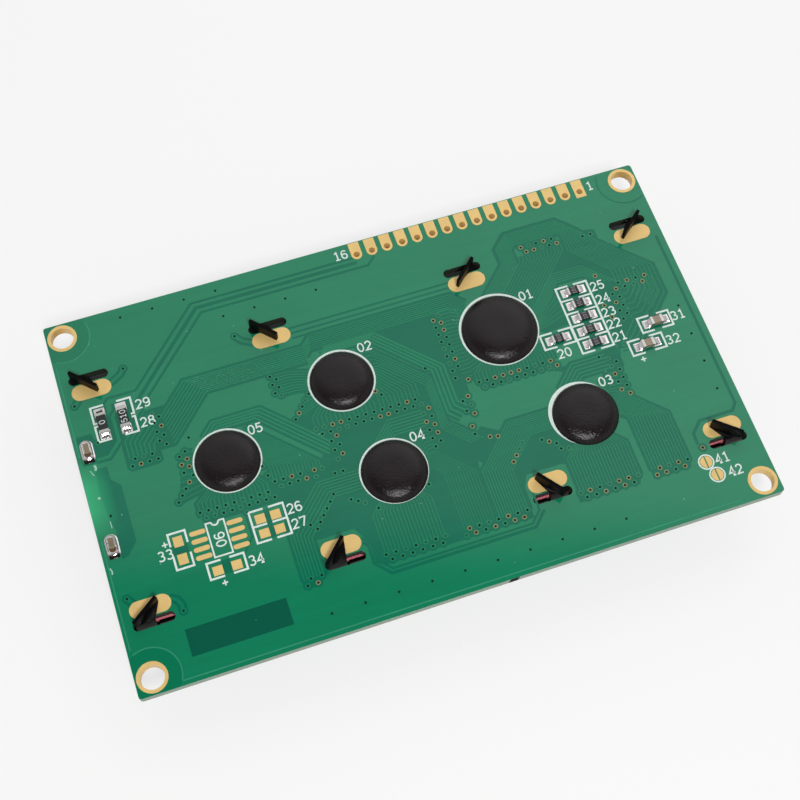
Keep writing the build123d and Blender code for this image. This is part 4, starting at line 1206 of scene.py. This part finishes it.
# %% [markdown]
# ## Display side
#
# Seen from below, the black bezel frames a grey-green film over glass. With the display off, the
# cells of its characters are just visible as faint darker dots. Dots and cells are both repeats, so
# the pattern is made by wrapping the coordinates, once for the cells and once for the dots in them.

# %% Polarizer film over dot cells
FILM_GREEN = (0.185, 0.235, 0.135)
DOT_GREEN = tuple(0.86 * c for c in FILM_GREEN)
CELLS = (("X", 20, 3.55, 5), ("Y", 4, 5.35, 8))
DOT_PITCH, DOT_SIZE = 0.6, 0.54


def film_material():
    """Along each axis there are so many cells at a pitch, with so many dots in a cell."""
    material, tree, shader = new_material("polarizer over dot cells")
    where = own_xyz(tree)
    masks = []
    for axis, cells, pitch, dots in CELLS:
        shifted = math_node(tree, "ADD", where[axis], cells * pitch / 2 * MM)
        inside = math_node(tree, "COMPARE", where[axis], 0.0, cells * pitch / 2 * MM)
        in_cell = math_node(tree, "WRAP", shifted, pitch * MM, 0.0)
        in_block = math_node(tree, "LESS_THAN", in_cell, dots * DOT_PITCH * MM)
        in_pitch = math_node(tree, "WRAP", in_cell, DOT_PITCH * MM, 0.0)
        in_dot = math_node(tree, "LESS_THAN", in_pitch, DOT_SIZE * MM)
        masks += [inside, in_block, in_dot]
    dot = masks[0]
    for mask in masks[1:]:
        dot = math_node(tree, "MULTIPLY", dot, mask)
    surface = mottle(tree, shader, FILM_GREEN, 0.12, depth=0.08, patch=0.05, grain=2.0, unevenness=0.04)
    tree.links.new(mix_colours(tree, dot, surface["Colour"], DOT_GREEN), shader.inputs["Base Color"])
    set_values(shader, coat_weight=0.6, coat_roughness=0.04)
    return material


FILM = film_material()
dress(FILM, "front_polarizer", "rear_polarizer")

# %% Glass, strips and backlight
GLASS = mottled("display glass", (0.80, 0.90, 0.85), 0.04, depth=0.05, unevenness=0.02,
                transmission_weight=1.0, ior=1.5)
PINK = mottled("pink silicone", (0.80, 0.20, 0.25), 0.55, depth=0.2, patch=0.8, grain=6.0)
WHITE_MOULDING = mottled("white moulding", (0.78, 0.78, 0.75), 0.5, depth=0.1, patch=0.3, grain=4.0)
FROSTED = mottled("frosted film", (0.84, 0.84, 0.84), 0.6, depth=0.08, patch=0.3, grain=6.0)
ACRYLIC = mottled("clear acrylic", (0.93, 0.95, 0.95), 0.05, depth=0.04, transmission_weight=1.0, ior=1.49)
LAMP_BODY = mottled("lamp body", (0.80, 0.76, 0.45), 0.4, depth=0.2, patch=1.0, grain=8.0)
dress(GLASS, "front_glass", "rear_glass")
dress(PINK, "elastomer_strip_upper", "elastomer_strip_lower")
dress(WHITE_MOULDING, "backlight_frame", "reflector_film")
dress(FROSTED, "diffuser_film")
dress(ACRYLIC, "light_guide")
dress(LAMP_BODY, "backlight_leds")
dress(BOARD, "led_strip_board")

# %% [markdown]
# ## Camera
#
# The photograph was squeezed to a square, so no plain camera matches it in both directions. This
# one stands on the photograph's side and a little higher, which shares the difference out. It is
# placed by its angles and its distance from a point on the board, which are easier to read than
# three coordinates.

# %% Camera
AZIMUTH, ELEVATION, ROLL = -21.4, 66.0, 3.0
DISTANCE = 207.0
TARGET = Vector((-0.5, 1.6, BOARD_TOP))
FOCAL_PIXELS = 1367.9
IMAGE_SIDE = 800.0
SENSOR = 36.0


def place_camera():
    azimuth, elevation, roll = (math.radians(angle) for angle in (AZIMUTH, ELEVATION, ROLL))
    back = Vector((math.sin(azimuth) * math.cos(elevation), -math.cos(azimuth) * math.cos(elevation),
                   math.sin(elevation)))
    right = Vector((0, 0, 1)).cross(back).normalized()
    up = back.cross(right)
    turned_right = right * math.cos(roll) + up * math.sin(roll)
    turned_up = up * math.cos(roll) - right * math.sin(roll)
    matrix = Matrix((turned_right, turned_up, back)).transposed().to_4x4()
    matrix.translation = (TARGET + back * DISTANCE) * MM
    data = bpy.data.cameras.new("camera")
    data.sensor_width = SENSOR
    data.lens = FOCAL_PIXELS / IMAGE_SIDE * SENSOR
    data.clip_start = 0.01
    camera = bpy.data.objects.new("camera", data)
    camera.matrix_world = matrix
    bpy.context.scene.collection.objects.link(camera)
    bpy.context.scene.camera = camera
    return camera


CAMERA = place_camera()
EYE = CAMERA.matrix_world.translation / MM
print("camera at", [round(c, 1) for c in EYE], "mm")

# %% [markdown]
# ## Light
#
# The board shines only where it mirrors something bright. In the photograph the lower left of the
# board is a deeper green, because the edge of a soft light falls across its reflection. So the main
# soft light is placed by reflection: its near edge is where the eye, mirrored in two points of the
# board, would see it. Its cloth fades in from that edge, and is a little brighter to the right. A
# small lamp from the front gives each epoxy drop its bright spot.

# %% A plain area light
def area_light(name, centre, aim, along, width, depth, power):
    """A rectangle of light; its long side runs as nearly along the given direction as it can."""
    data = bpy.data.lights.new(name, "AREA")
    data.shape = "RECTANGLE"
    data.size = width * MM
    data.size_y = depth * MM
    data.energy = power
    light = bpy.data.objects.new(name, data)
    back = (centre - aim).normalized()
    side = (along - back * along.dot(back)).normalized()
    matrix = Matrix((side, back.cross(side), back)).transposed().to_4x4()
    matrix.translation = centre * MM
    light.matrix_world = matrix
    bpy.context.scene.collection.objects.link(light)
    return light


# %% The main soft light, placed by reflection
SOFTBOX_HEIGHT = 330.0
SOFTBOX_WIDTH, SOFTBOX_DEPTH, SOFTBOX_POWER = 620.0, 520.0, 0.84
EDGE_POINTS = [(-46.0, -13.8), (4.0, -28.0)]


def mirrored(point):
    """Where the line from the eye, mirrored at a point of the board, meets the softbox's height."""
    x, y = point
    reach = (SOFTBOX_HEIGHT - BOARD_TOP) / (EYE.z - BOARD_TOP)
    return Vector((x + (x - EYE.x) * reach, y + (y - EYE.y) * reach, SOFTBOX_HEIGHT))


near_left, near_right = (mirrored(point) for point in EDGE_POINTS)
edge = (near_right - near_left).normalized()
outward = Vector((-edge.y, edge.x, 0))
softbox_centre = (near_left + near_right) / 2 + outward * SOFTBOX_DEPTH / 2
SOFTBOX = area_light("overhead_softbox", softbox_centre, softbox_centre - Vector((0, 0, 1)), edge,
                     SOFTBOX_WIDTH, SOFTBOX_DEPTH, SOFTBOX_POWER)
print("softbox centre", [round(c) for c in softbox_centre])

# %% Its cloth
EDGE_FADE = 26.0
SIDE_GLOW = 0.6


def soften(light, start, inward, along, fade, side_glow):
    """Let the cloth fade in from its near edge, and brighten along it, by the place on the light."""
    light.data.use_nodes = True
    tree = light.data.node_tree
    place = tree.nodes.new("ShaderNodeNewGeometry")

    def reach(axis):
        node = tree.nodes.new("ShaderNodeVectorMath")
        node.operation = "DOT_PRODUCT"
        node.inputs[1].default_value = axis
        tree.links.new(place.outputs["Position"], node.inputs[0])
        return math_node(tree, "SUBTRACT", node.outputs["Value"], start.dot(axis) * MM)

    faded = map_range(tree, reach(inward), 0.0, fade * MM, 0.0, 1.0)
    side = map_range(tree, reach(along), -SOFTBOX_WIDTH / 2 * MM, SOFTBOX_WIDTH / 2 * MM,
                     1.0 - side_glow, 1.0 + side_glow)
    tree.links.new(math_node(tree, "MULTIPLY", faded, side), tree.nodes["Emission"].inputs["Strength"])


soften(SOFTBOX, (near_left + near_right) / 2, outward, edge, EDGE_FADE, SIDE_GLOW)
print("the cloth fades in over", EDGE_FADE, "mm")

# %% A small lamp from the front
FRONT_LAMP = Vector((-20.0, -225.0, 400.0))
FRONT_LAMP_WIDTH, FRONT_LAMP_DEPTH, FRONT_LAMP_POWER = 54.0, 84.0, 1.05
area_light("front_lamp", FRONT_LAMP, Vector((0, 0, 0)), Vector((1, 0, 0)), FRONT_LAMP_WIDTH,
           FRONT_LAMP_DEPTH, FRONT_LAMP_POWER)
print("front lamp", round(FRONT_LAMP.length), "mm away")

# %% [markdown]
# ## World and floor
#
# The world is a plain grey dome, brighter towards the horizon. The paper under the part is white in
# the photograph. It could be lit until it is, but then the part would be too. So the eye sees a mix
# of the lit paper, which holds the shadow, and plain white. Under the board no light gets in, so there
# the plain white ends and the paper is darker. That patch is shifted a little the way the eye looks,
# so that through a slot only shaded paper is seen.

# %% World
ZENITH_LIGHT, HORIZON_LIGHT = 0.10, 0.58
HORIZON_END, ZENITH_START = 0.45, 0.80
world = bpy.data.worlds.new("studio")
bpy.context.scene.world = world
world.use_nodes = True
sky = world.node_tree
direction = sky.nodes.new("ShaderNodeTexCoord")
parts = sky.nodes.new("ShaderNodeSeparateXYZ")
sky.links.new(direction.outputs["Generated"], parts.inputs[0])
tone = map_range(sky, parts.outputs["Z"], HORIZON_END, ZENITH_START, HORIZON_LIGHT, ZENITH_LIGHT)
sky.nodes["Background"].inputs["Color"].default_value = (1.0, 1.0, 1.0, 1.0)
sky.links.new(tone, sky.nodes["Background"].inputs["Strength"])
print("dome from", HORIZON_LIGHT, "down to", ZENITH_LIGHT)

# %% Floor
FLOOR_SIDE = 3000.0
FLOOR_DROP = 0.02 * MM
floor_half = FLOOR_SIDE / 2 * MM
floor_corners = [(x * floor_half, y * floor_half, -FLOOR_DROP)
                 for x, y in ((-1, -1), (1, -1), (1, 1), (-1, 1))]
floor_mesh = bpy.data.meshes.new("floor")
floor_mesh.from_pydata(floor_corners, [], [(0, 1, 2, 3)])
floor = bpy.data.objects.new("floor", floor_mesh)
bpy.context.scene.collection.objects.link(floor)
print("floor", round(FLOOR_SIDE), "mm square")

# %% Its paper, with painted shade under the board
SHADE_SHIFT_X, SHADE_SHIFT_Y, SHADE_END_RELIEF, SHADE_SIDE_RELIEF = 1.5, 3.0, 5.3, -2.0
SHADE_START, SHADE_END = -4.6, -3.0
# Under the board the paper's colour is darkened: painted shade.
PAPER_IN_PAINTED_SHADE = (0.22, 0.22, 0.22)
PAPER_WHITES = [(0.3, (0.87, 0.87, 0.865)), (0.7, (0.89, 0.89, 0.885))]
paper, paper_tree, paper_shader = new_material("white paper")
set_values(paper_shader, roughness=0.9)
paper_xyz = own_xyz(paper_tree)


def past_shade(axis, half_size, shift):
    """How far a point of the paper lies outside the patch along one axis; below zero it is inside."""
    away = math_node(paper_tree, "SUBTRACT", paper_xyz[axis], shift * MM)
    return math_node(paper_tree, "SUBTRACT", math_node(paper_tree, "ABSOLUTE", away), half_size * MM)


past = math_node(paper_tree, "MAXIMUM", past_shade("X", HALF_LENGTH + SHADE_END_RELIEF, SHADE_SHIFT_X),
                 past_shade("Y", HALF_WIDTH + SHADE_SIDE_RELIEF, SHADE_SHIFT_Y))
open_floor = map_range(paper_tree, past, SHADE_START * MM, SHADE_END * MM, 0.0, 1.0)
paper_white = ramp(paper_tree, noise(paper_tree, 0.004), PAPER_WHITES)
paper_tree.links.new(mix_colours(paper_tree, open_floor, PAPER_IN_PAINTED_SHADE, paper_white),
                     paper_shader.inputs["Base Color"])

# %% Plain white for the eye
LIT_SHARE = 0.32


def white_to_eye(tree, shader_output, output, lit_share, open_floor):
    """Mix a lit surface with plain white wherever the eye or a mirror looks at it directly."""
    rays = tree.nodes.new("ShaderNodeLightPath").outputs
    through = math_node(tree, "MAXIMUM", rays["Is Glossy Ray"], rays["Is Transmission Ray"])
    direct = math_node(tree, "MAXIMUM", rays["Is Camera Ray"], through)
    glow = tree.nodes.new("ShaderNodeEmission")
    glow.inputs["Color"].default_value = (1.0, 1.0, 1.0, 1.0)
    tree.links.new(open_floor, glow.inputs["Strength"])
    mix = tree.nodes.new("ShaderNodeMixShader")
    tree.links.new(math_node(tree, "MULTIPLY", direct, 1.0 - lit_share), mix.inputs[0])
    tree.links.new(shader_output, mix.inputs[1])
    tree.links.new(glow.outputs[0], mix.inputs[2])
    tree.links.new(mix.outputs[0], output)


white_to_eye(paper_tree, paper_shader.outputs[0], paper_tree.nodes["Material Output"].inputs["Surface"],
             LIT_SHARE, open_floor)
floor_mesh.materials.append(paper)
print("share of plain white to the eye:", round(1.0 - LIT_SHARE, 2))

# %% [markdown] ## View settings The Standard view transform shows a colour as it is
# written.

# %% View settings
bpy.context.scene.view_settings.view_transform = "Standard"
